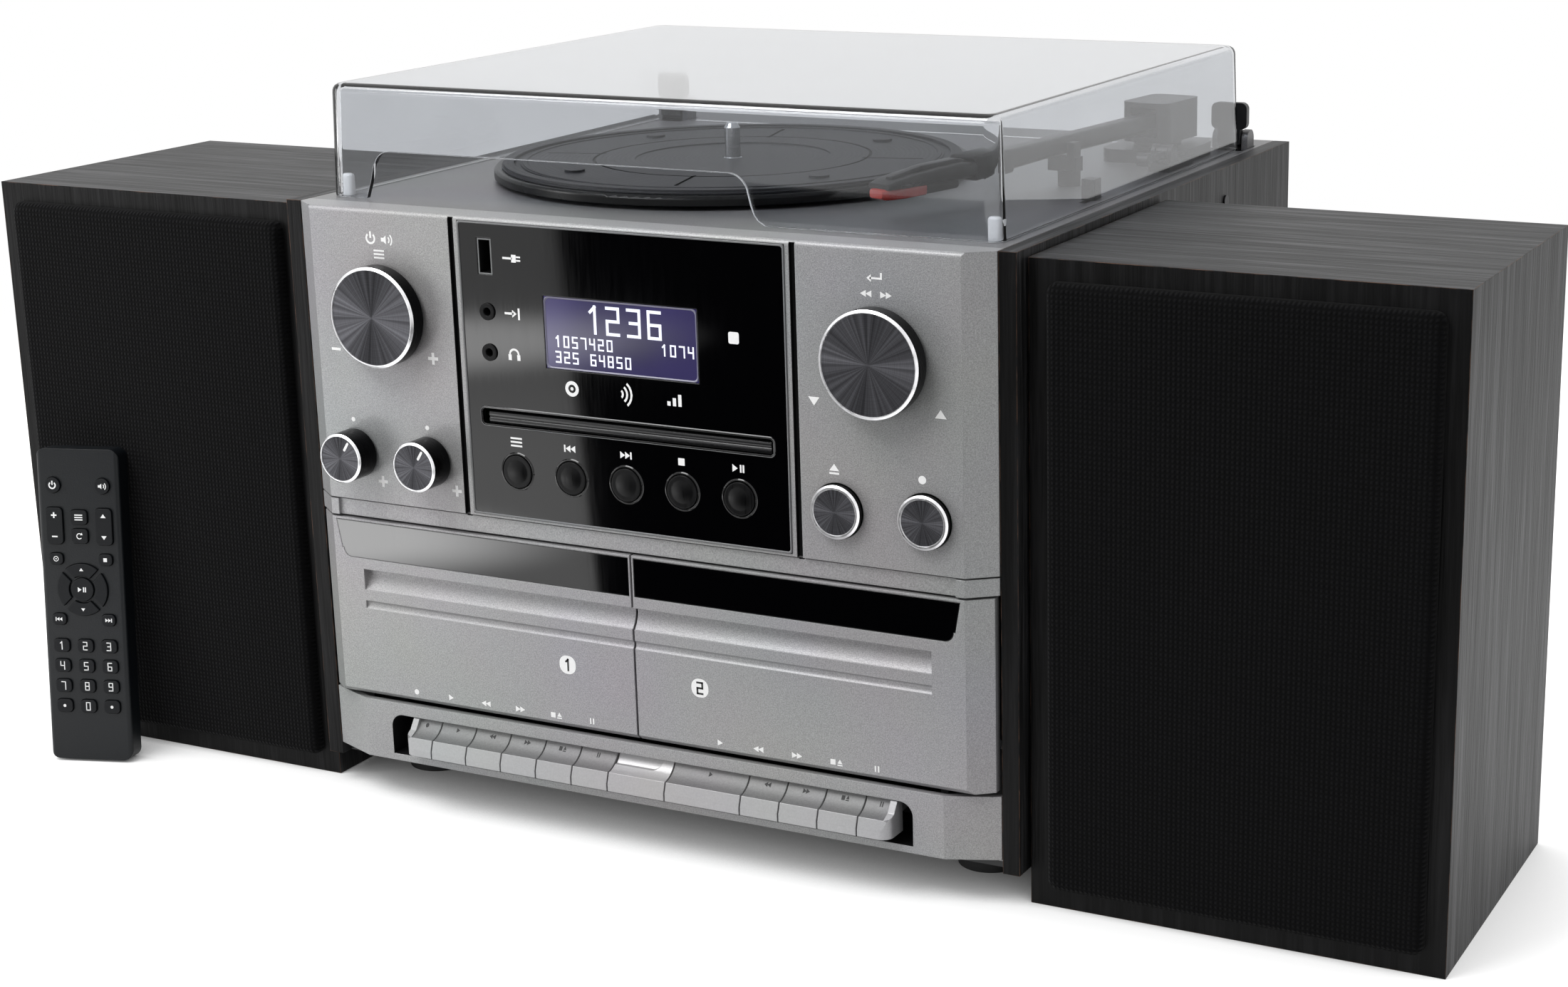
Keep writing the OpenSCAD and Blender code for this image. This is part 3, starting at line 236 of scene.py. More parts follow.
def metal(name, colour, rough, grain=(400, 400, 400), depth=0.00003, bead=None):
    """Bare or plated metal: its grain, in marks per metre, runs the way it was drawn, turned or rolled."""
    mat, tree, bsdf = start(name, Metallic=1.0)
    fine = add(tree, "TexNoise", {"Vector": coords(tree, grain), "Scale": 1.0, "Detail": 4.0})
    tone = add(tree, "ValToRGB", {"Fac": fine}, tones(colour, (0.3, 0.85), (0.7, 1.1)))
    surface(tree, bsdf, tone, (fine, rough * 0.7, rough * 1.3), (fine, 0.3, depth), bead)
    return mat


def spun(name, colour, rough=0.48):
    """Aluminium faced on a lathe and anodised: rings 0.35 mm apart, which draw the light into bright fans."""
    mat, tree, bsdf = start(name, Metallic=1.0, Anisotropic=0.93)
    place = add(tree, "TexCoord")
    split = add(tree, "SeparateXYZ", {"Vector": place.outputs["Object"]})
    flat = add(tree, "CombineXYZ", {"X": split.outputs["X"], "Y": split.outputs["Y"]})
    radius = add(tree, "VectorMath", {0: flat}, operation="LENGTH")
    rings = add(tree, "TexNoise", {"W": radius.outputs["Value"], "Scale": 1 / 0.00035, "Detail": 2.0},
                noise_dimensions="1D")
    # the face's colour is also painted lighter and darker in spokes round its middle: a painted highlight
    # that splits the fans into thin spokes
    angle = add(tree, "Math", {0: split.outputs["Y"], 1: split.outputs["X"]}, operation="ARCTAN2")
    painted_spoke_noise = add(tree, "TexNoise", {"W": angle, "Scale": 9.0, "Detail": 3.0}, noise_dimensions="1D")
    ring = add(tree, "ValToRGB", {"Fac": rings}, tones(colour, (0.3, 0.85), (0.7, 1.15)))
    painted_spokes = add(tree, "ValToRGB", {"Fac": painted_spoke_noise}, ((0.35, grey(0.5)), (0.65, grey(1.0))))
    both = add(tree, "Mix", {"Factor": 1.0, MIX_A: ring, MIX_B: painted_spokes},
               data_type="RGBA", blend_type="MULTIPLY")
    surface(tree, bsdf, both.outputs[MIX_OUT], (rings, rough * 0.8, rough * 1.2))
    wire(tree, bsdf, {"Tangent": add(tree, "Tangent", direction_type="RADIAL", axis="Z")})
    return mat


def black_ash(name, along, depth=1.0, shine=0.22):
    """Ash veneer stained black: open pores along the grain, and thin brown wear on the cut edges."""
    colour = shade(bpy.context.scene.centre_settings.veneer, depth)
    mat, tree, bsdf = start(name, IOR=1.5, Specular_IOR_Level=shine)
    # the grain is 25 times as long as it is wide; its pores are 0.8 mm apart, drawn 1.4 mm apart to show
    stretch = [9 if way == along else 220 for way in "XYZ"]
    bend = add(tree, "TexNoise",
               {"Vector": coords(tree, [s / 40 for s in stretch]), "Scale": 1.0, "Detail": 1.0})
    bent = add(tree, "VectorMath", {0: coords(tree, stretch), 1: bend.outputs["Color"]}, operation="ADD")
    bands = add(tree, "TexNoise",
                {"Vector": bent, "Scale": 1.0, "Detail": 6.0, "Roughness": 0.65, "Distortion": 0.4})
    pores = add(tree, "TexNoise",
                {"Vector": coords(tree, [s * 3.2 for s in stretch]), "Scale": 1.0, "Detail": 2.0})
    tone = add(tree, "ValToRGB", {"Fac": bands}, tones(colour, (0.38, 0.22), (0.5, 0.85), (0.64, 2.3)))
    dots = add(tree, "ValToRGB", {"Fac": pores}, ((0.36, grey(0.45)), (0.47, grey(1.0))))
    stained = add(tree, "Mix", {"Factor": 0.8, MIX_A: tone, MIX_B: dots},
                  data_type="RGBA", blend_type="MULTIPLY")
    # wear: where a 0.5 mm rounding would tilt the surface, the stain is rubbed through here and there
    flat = add(tree, "NewGeometry").outputs["Normal"]
    tilt = add(tree, "VectorMath", {0: flat, 1: rounded(tree, 0.0005)}, operation="DOT_PRODUCT")
    edge = add(tree, "MapRange", {"Value": tilt.outputs["Value"], "From Min": 0.985, "From Max": 0.9})
    rubbed = add(tree, "TexNoise", {"Vector": coords(tree), "Scale": 90.0, "Detail": 3.0})
    patch = add(tree, "MapRange",
                {"Value": rubbed, "From Min": 0.42, "From Max": 0.6, "To Min": 0.0, "To Max": 0.75})
    worn = add(tree, "Math", {0: edge, 1: patch}, operation="MULTIPLY")
    mix = add(tree, "Mix", {"Factor": worn, MIX_A: stained.outputs[MIX_OUT], MIX_B: linear("#8d6b57")},
              data_type="RGBA")
    height = add(tree, "Math", {0: bands, 1: pores}, operation="ADD")
    surface(tree, bsdf, mix.outputs[MIX_OUT], (bands, 0.56, 0.4), (height, 0.5, 0.0005), 0.0006)
    return mat


def woven(name, colour):
    """Acoustic grille cloth, plain weave with slubs: threads 0.6 mm apart, drawn 2 mm apart to show."""
    mat, tree, bsdf = start(
        name, Roughness=0.95, Sheen_Weight=0.03, Sheen_Roughness=0.5, Specular_IOR_Level=0.08)
    # a wave repeats after pi / 10 / scale metres, here 1.97 mm
    thread = {"Vector": coords(tree), "Scale": 500 / math.pi,
              "Distortion": 0.6, "Detail": 1.0, "Detail Scale": 3.0}
    across, up = (add(tree, "TexWave", thread, bands_direction=way).outputs["Fac"] for way in "XZ")
    weave = add(tree, "Math", {0: across, 1: up}, operation="MULTIPLY")
    slub = add(tree, "TexNoise",
               {"Vector": coords(tree, (140, 140, 420)), "Scale": 1.0, "Detail": 4.0, "Roughness": 0.7})
    height = add(tree, "Math", {0: weave, 1: slub}, operation="ADD")
    tone = add(tree, "ValToRGB", {"Fac": height}, tones(colour, (0.35, 0.45), (0.8, 1.0), (1.0, 1.8)))
    bump = add(tree, "Bump", {"Height": height, "Strength": 0.7, "Distance": 0.0006})
    wire(tree, bsdf, {"Base Color": tone, "Normal": bump})
    return mat


def clear_acrylic(name):
    """Cast acrylic, lightly smoked and polished: clear under a haze of dust; lamps reach what it covers."""
    mat, tree, bsdf = start(name, IOR=1.49, Transmission_Weight=1.0)
    dust = add(tree, "TexNoise", {"Vector": coords(tree), "Scale": 22.0, "Detail": 4.0})
    tone = add(tree, "ValToRGB", {"Fac": dust}, ((0.2, linear("#d6d8db")), (0.8, linear("#dddfe2"))))
    surface(tree, bsdf, tone, (dust, 0.0, 0.03))
    through = add(tree, "BsdfTransparent", {"Color": linear("#d2d4d7")})
    shadow = add(tree, "LightPath").outputs["Is Shadow Ray"]
    both = add(tree, "MixShader", {0: shadow, 1: bsdf, 2: through})
    wire(tree, tree.nodes["Material Output"], {"Surface": both})
    return mat


def ribbed_rubber(name):
    """Rubber moulded with ring ribs 2.2 mm apart round the spindle: matt, with a soft shine on each rib."""
    mat, tree, bsdf = start(name, Roughness=0.5, IOR=1.52, Specular_IOR_Level=0.35)
    place = add(tree, "TexCoord").outputs["Object"]
    spindle = at(*PLATTER, 0) * Vector((1, 1, 0))
    away = add(tree, "VectorMath", {0: place, 1: spindle}, operation="SUBTRACT")
    flat = add(tree, "VectorMath", {0: away, 1: (1, 1, 0)}, operation="MULTIPLY")
    radius = add(tree, "VectorMath", {0: flat}, operation="LENGTH").outputs["Value"]
    rib = add(tree, "Math", {0: radius, 1: 2 * math.pi / 0.0022}, operation="MULTIPLY")
    wave = add(tree, "Math", {0: rib}, operation="SINE")
    fine = add(tree, "TexNoise", {"Vector": place, "Scale": 900.0, "Detail": 2.0})
    tone = add(tree, "ValToRGB", {"Fac": fine}, ((0.3, linear("#191a1d")), (0.7, linear("#25262a"))))
    height = add(tree, "Math", {0: wave, 1: fine}, operation="ADD")
    relief = {"Height": height, "Strength": 0.18, "Distance": 0.0002, "Normal": rounded(tree)}
    wire(tree, bsdf, {"Base Color": tone, "Normal": add(tree, "Bump", relief)})
    return mat


def lit(name, colour, strength, bright):
    """A lit part behind the display's filter: its light is soft and a little uneven."""
    mat, tree, bsdf = start(name, Roughness=0.08, Base_Color=grey(0.02), Emission_Strength=strength)
    glow = add(tree, "TexNoise", {"Vector": coords(tree, (20, 20, 30)), "Scale": 1.0, "Detail": 1.0})
    tone = add(tree, "ValToRGB", {"Fac": glow}, ((0.3, shade(colour, 0.75)), (0.7, linear(bright))))
    wire(tree, bsdf, {"Emission Color": tone})
    return mat


FINISH = {}


def mix_finishes():
    """Makes every finish, under the name this file uses for it; grains, depths and beads are in metres."""
    settings = bpy.context.scene.centre_settings
    plastic = tuple(settings.plastic)
    FINISH.update({
        # ABS with a little metal flake, spark-eroded satin: an even grey with a fine sparkle
        "front": moulded("abs_satin_grey", plastic, 0.4, 0.0005, 0.0003, 0.28, flake=0.25),
        "deck": moulded("abs_satin_grey_deck", shade(plastic, 0.56), 0.38, 0.0005, 0.0003, 0.3, flake=0.35),
        # the keys are the same plastic, smoother; they get a lighter copy of it, painted light, and their
        # hollows a darker, rougher copy, painted shade
        "key": moulded("abs_smooth_grey_painted_light", shade(plastic, 1.3), 0.3, 0.0008, 0.0001, 0.06, flake=0.25),
        "key_hollow_painted_shade": moulded("abs_rough_grey_painted_shade", shade(plastic, 0.55), 0.5, 0.0008, 0.0002, flake=0.25),
        # a light grey for edges that catch the light, round the black panel and elsewhere: painted highlight
        "rim": moulded("abs_grey_painted_highlight", "#6f7072", 0.25, 0.0008, 0.0001, 0.05, 0.0003),
        # polished black acrylic: a mirror-smooth dark face
        "gloss": polished("acrylic_polished_black", "#030304", 0.05),
        # round buttons: the same black with a satin face, so that they stand out dimly
        "button": polished("abs_satin_black_buttons", "#060607", 0.3, 1.5, 0.0008, 0.15),
        # the lips inside the slot: the same black, a little less polished
        "lips": polished("abs_polished_black_lips", "#131315", 0.16, 1.53, 0.0006),
        # black mouldings, from satin to matt: the arm is the deepest; the matt one is also painted into
        # grooves and openings of grey parts as painted shade
        "black": moulded("abs_satin_black", "#0e0e10", 0.34, 0.0008, 0.0002, shine=0.35),
        "arm": moulded("abs_satin_deep_black", "#070708", 0.3, 0.0008, 0.0001, 0.2, 0.0006, shine=0.25),
        "dark": moulded("abs_matt_black", "#060607", 0.6, 0.0008, 0.0003, shine=0.2),
        "platter": moulded("abs_platter_black", "#08090a", 0.28, 0.0008, 0.0001, shine=0.2),
        # natural rubber, moulded: matt and slightly chalky
        "rubber": moulded("rubber_moulded_black", "#101011", 0.62, 0.001, 0.0003, 0.2, 0.0004, 1.52),
        "mat": ribbed_rubber("rubber_ribbed_mat"),
        # the remote control: a blue-black satin case with soft matt keys
        "remote": moulded("abs_satin_blue_black", "#0d1013", 0.4, 0.0007, 0.0002, shine=0.25),
        "soft_key": moulded(
            "silicone_rubber_keys", "#0c0e11", 0.5, 0.0009, 0.0002, 0.1, 0.0006, 1.41, shine=0.25),
        # polystyrene, moulded and polished: the one strong colour on the object
        "red": polished("polystyrene_red", "#a8281f", 0.2, 1.59, 0.0005),
        # soft PVC, moulded: a smooth waxy white
        "pale": moulded("pvc_white_bumper", "#e4e4e4", 0.3, 0.001, 0.0001, 0.04, 0.0006),
        # screen-printed ink: flat and nearly white; the engraving's paint is flat and nearly black
        "ink": moulded("screen_print_white", "#fafafa", 0.55, 0.0005, 0.00005, 0.03, 0, 1.5),
        "engraved": moulded("paint_filled_engraving", "#141415", 0.6, 0.0005, 0.0001, 0.1, 0, 1.5),
        # the knobs: a dark spun face, a bright diamond-cut edge that rings it, and a black turned side
        "spun": spun("aluminium_spun_anodised_dark", "#56565a"),
        "bevel": metal("aluminium_diamond_cut", "#f0f0f2", 0.3, (300, 300, 300), 0.000002, 0.0001),
        "knob_side": metal("aluminium_turned_anodised_black", "#101012", 0.26, (60, 60, 2000)),
        # plain metals: turned steel shines in fine lines, zinc is mottled, a blackened screw is dull, nickel
        # is even and bright, and brass is warm
        "steel": metal("steel_turned_bright", "#b9bbbe", 0.18, (90, 90, 1500)),
        "zinc": metal("steel_zinc_coated", "#9a9da1", 0.38, (60, 60, 60), 0.0001),
        "dull_screw": metal("steel_blackened", "#2a2a2c", 0.4, (200, 200, 200), 0.00005),
        "nickel": metal("nickel_plated_steel", "#b5b4ae", 0.2),
        "brass": metal("brass_turned", "#b08a45", 0.25),
        # enamelled wire, wound: fine copper-brown lines
        "copper": metal("copper_enamelled_wire", "#8a4a25", 0.35, (40, 40, 2600)),
        # powder coat: a soft orange peel that blurs the light
        "powder": moulded("steel_powder_coated_black", "#1a1b1d", 0.5, 0.0016, 0.0004, 0.15, 0.0004, 1.5),
        # solder mask on glass epoxy: green under a smooth skin
        "board": polished("glass_epoxy_solder_mask_green", "#1d5a33", 0.3, 1.55, 0.0003),
        # pressed paper: fibrous and without gloss
        "paper": moulded("paper_cone_black", "#1f1f20", 0.85, 0.002, 0.0004, 0.2, 0.0003, 1.45),
        # ash veneer, its grain upright, lengthways or across; faces that look forward get a copy five times
        # as dark, painted shade
        "ash_up": black_ash("ash_veneer_black_upright", "Z"),
        "ash_front_shaded": black_ash("ash_veneer_black_front_painted_shade", "Z", 0.2, 0.12),
        "ash_along": black_ash("ash_veneer_black_lengthways", "Y"),
        "ash_across": black_ash("ash_veneer_black_across", "X"),
        "cloth": woven("grille_cloth_black", "#080809"),
        "clear": clear_acrylic("acrylic_smoked_clear"),
        # the display: violet light behind white figures, in a smooth grey-violet edge
        "backlight": lit("display_backlight_violet", tuple(settings.backlight), 0.9, "#352c6a"),
        "segment": lit("display_segment_white", "#e4e8ff", 1.5, "#f2f4ff"),
        "display_edge": moulded("abs_display_edge", "#77758a", 0.3, 0.0006, 0.0001, 0.05, 0.0003),
    })


# ---------------------------------------------------------------- mesh helpers
def new_object(name, bm, mats=(), angle=None):
    """Turns a bmesh into an object, shaded smooth between edges sharper than the angle where one is given."""
    mesh = bpy.data.meshes.new(name)
    bm.to_mesh(mesh)
    bm.free()
    if angle is not None:
        mesh.shade_smooth()
        mesh.set_sharp_from_angle(angle=math.radians(angle))
    for mat in mats:
        mesh.materials.append(mat)
    obj = bpy.data.objects.new(name, mesh)
    bpy.context.scene.collection.objects.link(obj)
    return obj


def finish_mesh(name, bm, finishes, body, angle, matrix=None):
    """Turns a bmesh, in the frame or in its own matrix, into a piece that rides on a body."""
    bmesh.ops.recalc_face_normals(bm, faces=bm.faces)
    obj = new_object(name, bm, [FINISH[key] for key in finishes.split()], angle)
    if matrix is not None:
        obj.matrix_world = matrix
    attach(obj, body)
    return obj


def arc(r, a0, a1, steps, cx=0.0, cz=0.0):
    """Points round a centre from one angle to the other, in degrees."""
    angles = [math.radians(a0 + (a1 - a0) * i / steps) for i in range(steps + 1)]
    return [(cx + r * math.cos(a), cz + r * math.sin(a)) for a in angles]


def disc(r, steps):
    """A closed circle."""
    return arc(r, 0, 360, steps)[:-1]


def round_rect(w, h, r, steps=6, cx=0.0, cz=0.0):
    """A rectangle with round corners."""
    points = []
    for qx, qz, a0 in ((1, 1, 0), (-1, 1, 90), (-1, -1, 180), (1, -1, 270)):
        points += arc(r, a0, a0 + 90, steps, cx + qx * (w / 2 - r), cz + qz * (h / 2 - r))
    return points


def block(x0, x1, y0, y1):
    """A plain rectangle."""
    return [(x0, y0), (x1, y0), (x1, y1), (x0, y1)]


def stroke(points, width):
    """A thick line as rectangles, one for each stretch."""
    out = []
    for (x0, y0), (x1, y1) in zip(points, points[1:]):
        k = width / 2 / math.hypot(x1 - x0, y1 - y0)
        ex, ey = (x1 - x0) * k, (y1 - y0) * k
        out.append([(x0 - ex - ey, y0 - ey + ex), (x0 - ex + ey, y0 - ey - ex),
                    (x1 + ex + ey, y1 + ey - ex), (x1 + ex - ey, y1 + ey + ex)])
    return out


def band(r, width, a0, a1, steps=12, cx=0.0):
    """A thick arc as four-sided pieces that meet edge to edge."""
    inner, outer = (arc(r + side * width / 2, a0, a1, steps, cx) for side in (-1, 1))
    return [[inner[i], inner[i + 1], outer[i + 1], outer[i]] for i in range(steps)]


def prism(bm, outline, low, high, place):
    """A plate with that outline; place(u, v, w) gives the frame point of outline (u, v) at height w."""
    a, b = ([bm.verts.new(place(u, v, w)) for u, v in outline] for w in (low, high))
    bm.faces.new(a)
    bm.faces.new(b[::-1])
    n = len(outline)
    for i in range(n):
        bm.faces.new((a[i], b[i], b[(i + 1) % n], a[(i + 1) % n]))


def ring_loft(bm, rings, cap_first=True, cap_last=True):
    """Joins closed rings of points with quads and closes the ends asked for; returns the vertices."""
    rows = [[bm.verts.new(p) for p in ring] for ring in rings]
    n = len(rows[0])
    for a, b in zip(rows, rows[1:]):
        for i in range(n):
            bm.faces.new((a[i], a[(i + 1) % n], b[(i + 1) % n], b[i]))
    if cap_first:
        bm.faces.new(rows[0][::-1])
    if cap_last:
        bm.faces.new(rows[-1])
    return rows


def lathe_piece(name, profile, finishes, body, x, z, steps):
    """Turns (radius, height, finish number) points round an axis that stands out of the front at x, z."""
    bm = bmesh.new()
    rings = []
    for radius, height, _ in profile:
        if radius == 0:
            rings.append([bm.verts.new((0, 0, height / 1000))] * steps)
        else:
            rings.append([bm.verts.new((u / 1000, v / 1000, height / 1000)) for u, v in disc(radius, steps)])
    for (_, _, number), a, b in zip(profile, rings, rings[1:]):
        for i in range(steps):
            j = (i + 1) % steps
            corners = list(dict.fromkeys((a[i], a[j], b[j], b[i])))
            if len(corners) > 2:
                bm.faces.new(corners).material_index = number
    # the turned grain runs round local Z, which points forward
    forward = Vector((0, -1, 0)).to_track_quat("Z", "Y").to_matrix().to_4x4()
    return finish_mesh(name, bm, finishes, body, 32, Matrix.Translation(at(x, 0, z)) @ forward)


def moulding(name, finish, w, h, r, z, face, profile, steps=5, follow=False):
    """A strip round a rectangle on the front; its profile has (growth outwards, y from the face) points.

    The corner radius grows with the strip where follow is set.
    """
    bm = bmesh.new()
    rings = []
    for grow, y in profile:
        corner = r + grow if follow else r
        outline = round_rect(w + 2 * grow, h + 2 * grow, corner, steps, 0, z)
        rings.append([at(u, face + y, v) for u, v in outline])
    ring_loft(bm, rings, False, False)
    finish_mesh(name, bm, finish, "cabinet", 40)


# ---------------------------------------------------------------- printed marks
def glyph(kind, s=1.0):
    """Outlines of a plain control symbol about 2 units wide, scaled by s."""

    def bar(x):
        return block(x - 0.22, x + 0.22, -0.9, 0.9)

    def move(shape, dx, k=1.0):
        return [(x * k + dx, y) for x, y in shape]

    right = [(-0.8, -0.9), (0.9, 0), (-0.8, 0.9)]
    left = [(0.8, -0.9), (0.8, 0.9), (-0.9, 0)]
    box = block(-0.8, 0.8, -0.8, 0.8)
    up = [(-1, -0.3), (1, -0.3), (0, 1)]
    base = block(-1, 1, -0.95, -0.6)
    steps = ((-1.1, -0.2), (-0.1, 0.4), (0.9, 1.0))
    known = {
        "play": [right],
        "rewind": [move(left, -0.8), move(left, 0.8)],
        "forward": [move(right, -0.8), move(right, 0.8)],
        "stop": [box],
        "pause": [bar(-0.5), bar(0.5)],
        "record": [disc(0.85, 20)],
        "eject": [up, base],
        "stop_eject": [move(box, -1.1), move(up, 1.1, 0.8), move(base, 1.1, 0.8)],
        "previous": [bar(-1.6), move(left, -0.6, 0.8), move(left, 0.8, 0.8)],
        "next": [bar(1.6), move(right, 0.6, 0.8), move(right, -0.8, 0.8)],
        "play_pause": [move(right, -1.0, 0.8), bar(0.5), bar(1.2)],
        "menu": [bit for y in (-0.85, 0, 0.85) for bit in stroke([(-1.3, y), (1.3, y)], 0.4)],
        "power": band(1.0, 0.42, 130, 410, 20) + stroke([(0, 0.3), (0, 1.2)], 0.42),
        "plus": stroke([(-0.75, 0), (0.75, 0)], 0.56)
        + stroke([(0, -0.75), (0, -0.56)], 0.56) + stroke([(0, 0.56), (0, 0.75)], 0.56),
        "minus": stroke([(-0.8, 0), (0.8, 0)], 0.5),
        "bars": [block(x - 0.3, x + 0.3, -0.9, top) for x, top in steps],
        "enter": stroke([(-1.2, 0), (1.2, 0)], 0.4) + stroke([(1.2, 0.4), (1.2, 1.0)], 0.4)
        + [[(-2.1, 0), (-1.1, -0.8), (-1.1, 0.8)]],
        "up": [[(-1, -0.6), (1, -0.6), (0, 0.8)]],
        "down": [[(-1, 0.6), (0, -0.8), (1, 0.6)]],
        "dot": [disc(0.6, 14)],
        "square": [round_rect(1.8, 1.8, 0.3, 3)],
        "phones": band(0.9, 0.36, 0, 180)
        + stroke([(-0.9, -0.35), (-0.9, -0.7)], 0.66) + stroke([(0.9, -0.35), (0.9, -0.7)], 0.66),
        "plug": stroke([(-1.7, 0), (0, 0)], 0.38) + [block(0, 1.0, -0.7, 0.7)]
        + stroke([(1.2, 0.32), (1.8, 0.32)], 0.3) + stroke([(1.2, -0.32), (1.8, -0.32)], 0.3),
        "line_in": stroke([(-1.6, 0), (0.0, 0)], 0.42) + [[(-0.1, -0.75), (0.9, 0), (-0.1, 0.75)]]
        + stroke([(1.4, -0.9), (1.4, 0.9)], 0.42),
        "sound": [[(-1.2, -0.4), (-0.6, -0.4), (0, -0.9), (0, 0.9), (-0.6, 0.4), (-1.2, 0.4)]]
        + band(0.8, 0.3, -45, 45, 6) + band(1.45, 0.3, -45, 45, 6),
        "turn": band(0.95, 0.32, 50, 320, 14) + [[(0.3, 0.35), (1.25, 0.45), (0.95, 1.3)]],
        "ring": band(1.0, 0.3, 0, 360, 20) + [disc(0.3, 10)],
        "disc": band(0.85, 0.5, 0, 360, 24) + [disc(0.25, 10)],
        "waves": [bit for r in (0.7, 1.5, 2.3) for bit in band(r, 0.36, -50, 50, 6, -1.2)],
    }
    return [[(x * s, y * s) for x, y in shape] for shape in known[kind]]


# the strokes of each figure in a field 1 wide and 2 high
FIGURES = {
    "0": [[(0, 0), (1, 0), (1, 2), (0, 2), (0, 0)]],
    "1": [[(0.2, 1.6), (0.6, 2), (0.6, 0)]],
    "2": [[(0, 2), (1, 2), (1, 1), (0, 1), (0, 0), (1, 0)]],
    "3": [[(0, 2), (1, 2), (1, 0), (0, 0)], [(0.2, 1), (1, 1)]],
    "4": [[(0, 2), (0, 1), (1, 1)], [(1, 2), (1, 0)]],
    "5": [[(1, 2), (0, 2), (0, 1), (1, 1), (1, 0), (0, 0)]],
    "6": [[(1, 2), (0, 2), (0, 0), (1, 0), (1, 1), (0, 1)]],
    "7": [[(0, 2), (1, 2), (1, 0)]],
    "8": [[(0, 0), (1, 0), (1, 2), (0, 2), (0, 0)], [(0, 1), (1, 1)]],
    "9": [[(1, 1), (0, 1), (0, 2), (1, 2), (1, 0), (0, 0)]],
}


def digit(figure, height, width):
    """A plain figure from short strokes, centred; the width of its strokes is in the field's units."""
    k = height / 2
    shapes = [shape for line in FIGURES[figure] for shape in stroke(line, width)]
    return [[((x - 0.5) * k, (y - 1) * k) for x, y in shape] for shape in shapes]


def symbols(*rows):
    """Marks from (kind, size, u, v) rows."""
    return [(glyph(kind, size), u, v) for kind, size, u, v in rows]


def print_marks(name, marks, finish, body, place, thick=0.05):
    """One object of flat printed marks; marks are (outlines, centre u, centre v)."""
    bm = bmesh.new()
    for shapes, cu, cv in marks:
        for shape in shapes:
            prism(bm, [(u + cu, v + cv) for u, v in shape], 0.0, thick, place)
    return finish_mesh(name, bm, finish, body, 20)


def front_place(y=0.0):
    """Puts marks on a face that looks forward, y mm behind the flat front."""
    return lambda u, v, w: at(u, y - w, v)


def paint(node, finish):
    """Gives a CAD node a finish, or one by face from a function of the face's centre in mm and its normal."""
    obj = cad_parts[node]
    obj.data.materials.clear()
    if not callable(finish):
        obj.data.materials.append(FINISH[finish])
        return
    names = []
    for face in obj.data.polygons:
        c = face.center
        pick = finish(c.x * 1000, (c.y - FRONT) * 1000, c.z * 1000, face.normal)
        if pick not in names:
            names.append(pick)
            obj.data.materials.append(FINISH[pick])
        face.material_index = names.index(pick)


# ---------------------------------------------------------------- pieces
class CENTRE_OT_finishes(bpy.types.Operator):
    """Mixes the finishes and gives one to each plain moulding and pressing"""

    bl_idname = "centre.finishes"
    bl_label = "Finishes"
    bl_options = {"REGISTER", "UNDO"}

    def execute(self, context):
        def key(x, y, z, n):
            hollow_y, hollow_z, radius = KEY_HOLLOW
            # hollow faces that look forward get the darker copy of the key plastic, painted shade; the rest
            # the lighter copy, painted light
            in_shaded_hollow = abs(math.hypot(y - hollow_y, z - hollow_z) - radius) < 0.3
            return "key_hollow_painted_shade" if in_shaded_hollow and n.y < 0 else "key"

        def side(x, y, z, n):
            # faces that look forward get the darker copy of the veneer: painted shade
            ends, shaded_front_edge = abs(n.z) > 0.7, n.y < -0.7
            return "ash_along" if ends else "ash_front_shaded" if shaded_front_edge else "ash_up"

        def front(x, y, z, n):
            # the groove beside the panel is painted matt black: painted shade
            shaded_groove_beside_panel = 79.3 < abs(x) < 82.5 and 0.1 < y < 2.4
            return "dark" if shaded_groove_beside_panel else "front"

        def bezel(x, y, z, n):
            fixed_piece = -11.6 < x < 16.3 and y < 5 and 26 < z < 42
            # the walls of the opening round the keys are painted matt black: painted shade
            shaded_opening = y > 3.2 and abs(x) < 134 and 21 < z < 46 and abs(n.y) < 0.99
            return "key" if fixed_piece else "dark" if shaded_opening else "front"

        mix_finishes()
        for finish, nodes in {
            "powder": "chassis rear_cover",
            "front": "cassette_door_left cassette_door_right",
            "deck": "deck_plate",
            "gloss": "front_panel door_window_left door_window_right",
            "black": "hinge_arms tonearm_base tonearm_yoke lift_lever speed_switch",
            "button": " ".join(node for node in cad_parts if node.startswith("front_button")),
            "platter": "platter",
            "rubber": "feet",
            "steel": "volume_shaft select_shaft",
            "zinc": "cd_loader",
            "brass": "motor_pulley",
            "dull_screw": "screws",
            "remote": "remote_case",
            "soft_key": "remote_keypad",
        }.items():
            for node in nodes.split():
                paint(node, finish)
        for node in KEYS:
            paint(node, key)
        paint("cabinet_sides", side)
        paint("fascia", front)
        paint("key_bezel", bezel)
        return {"FINISHED"}


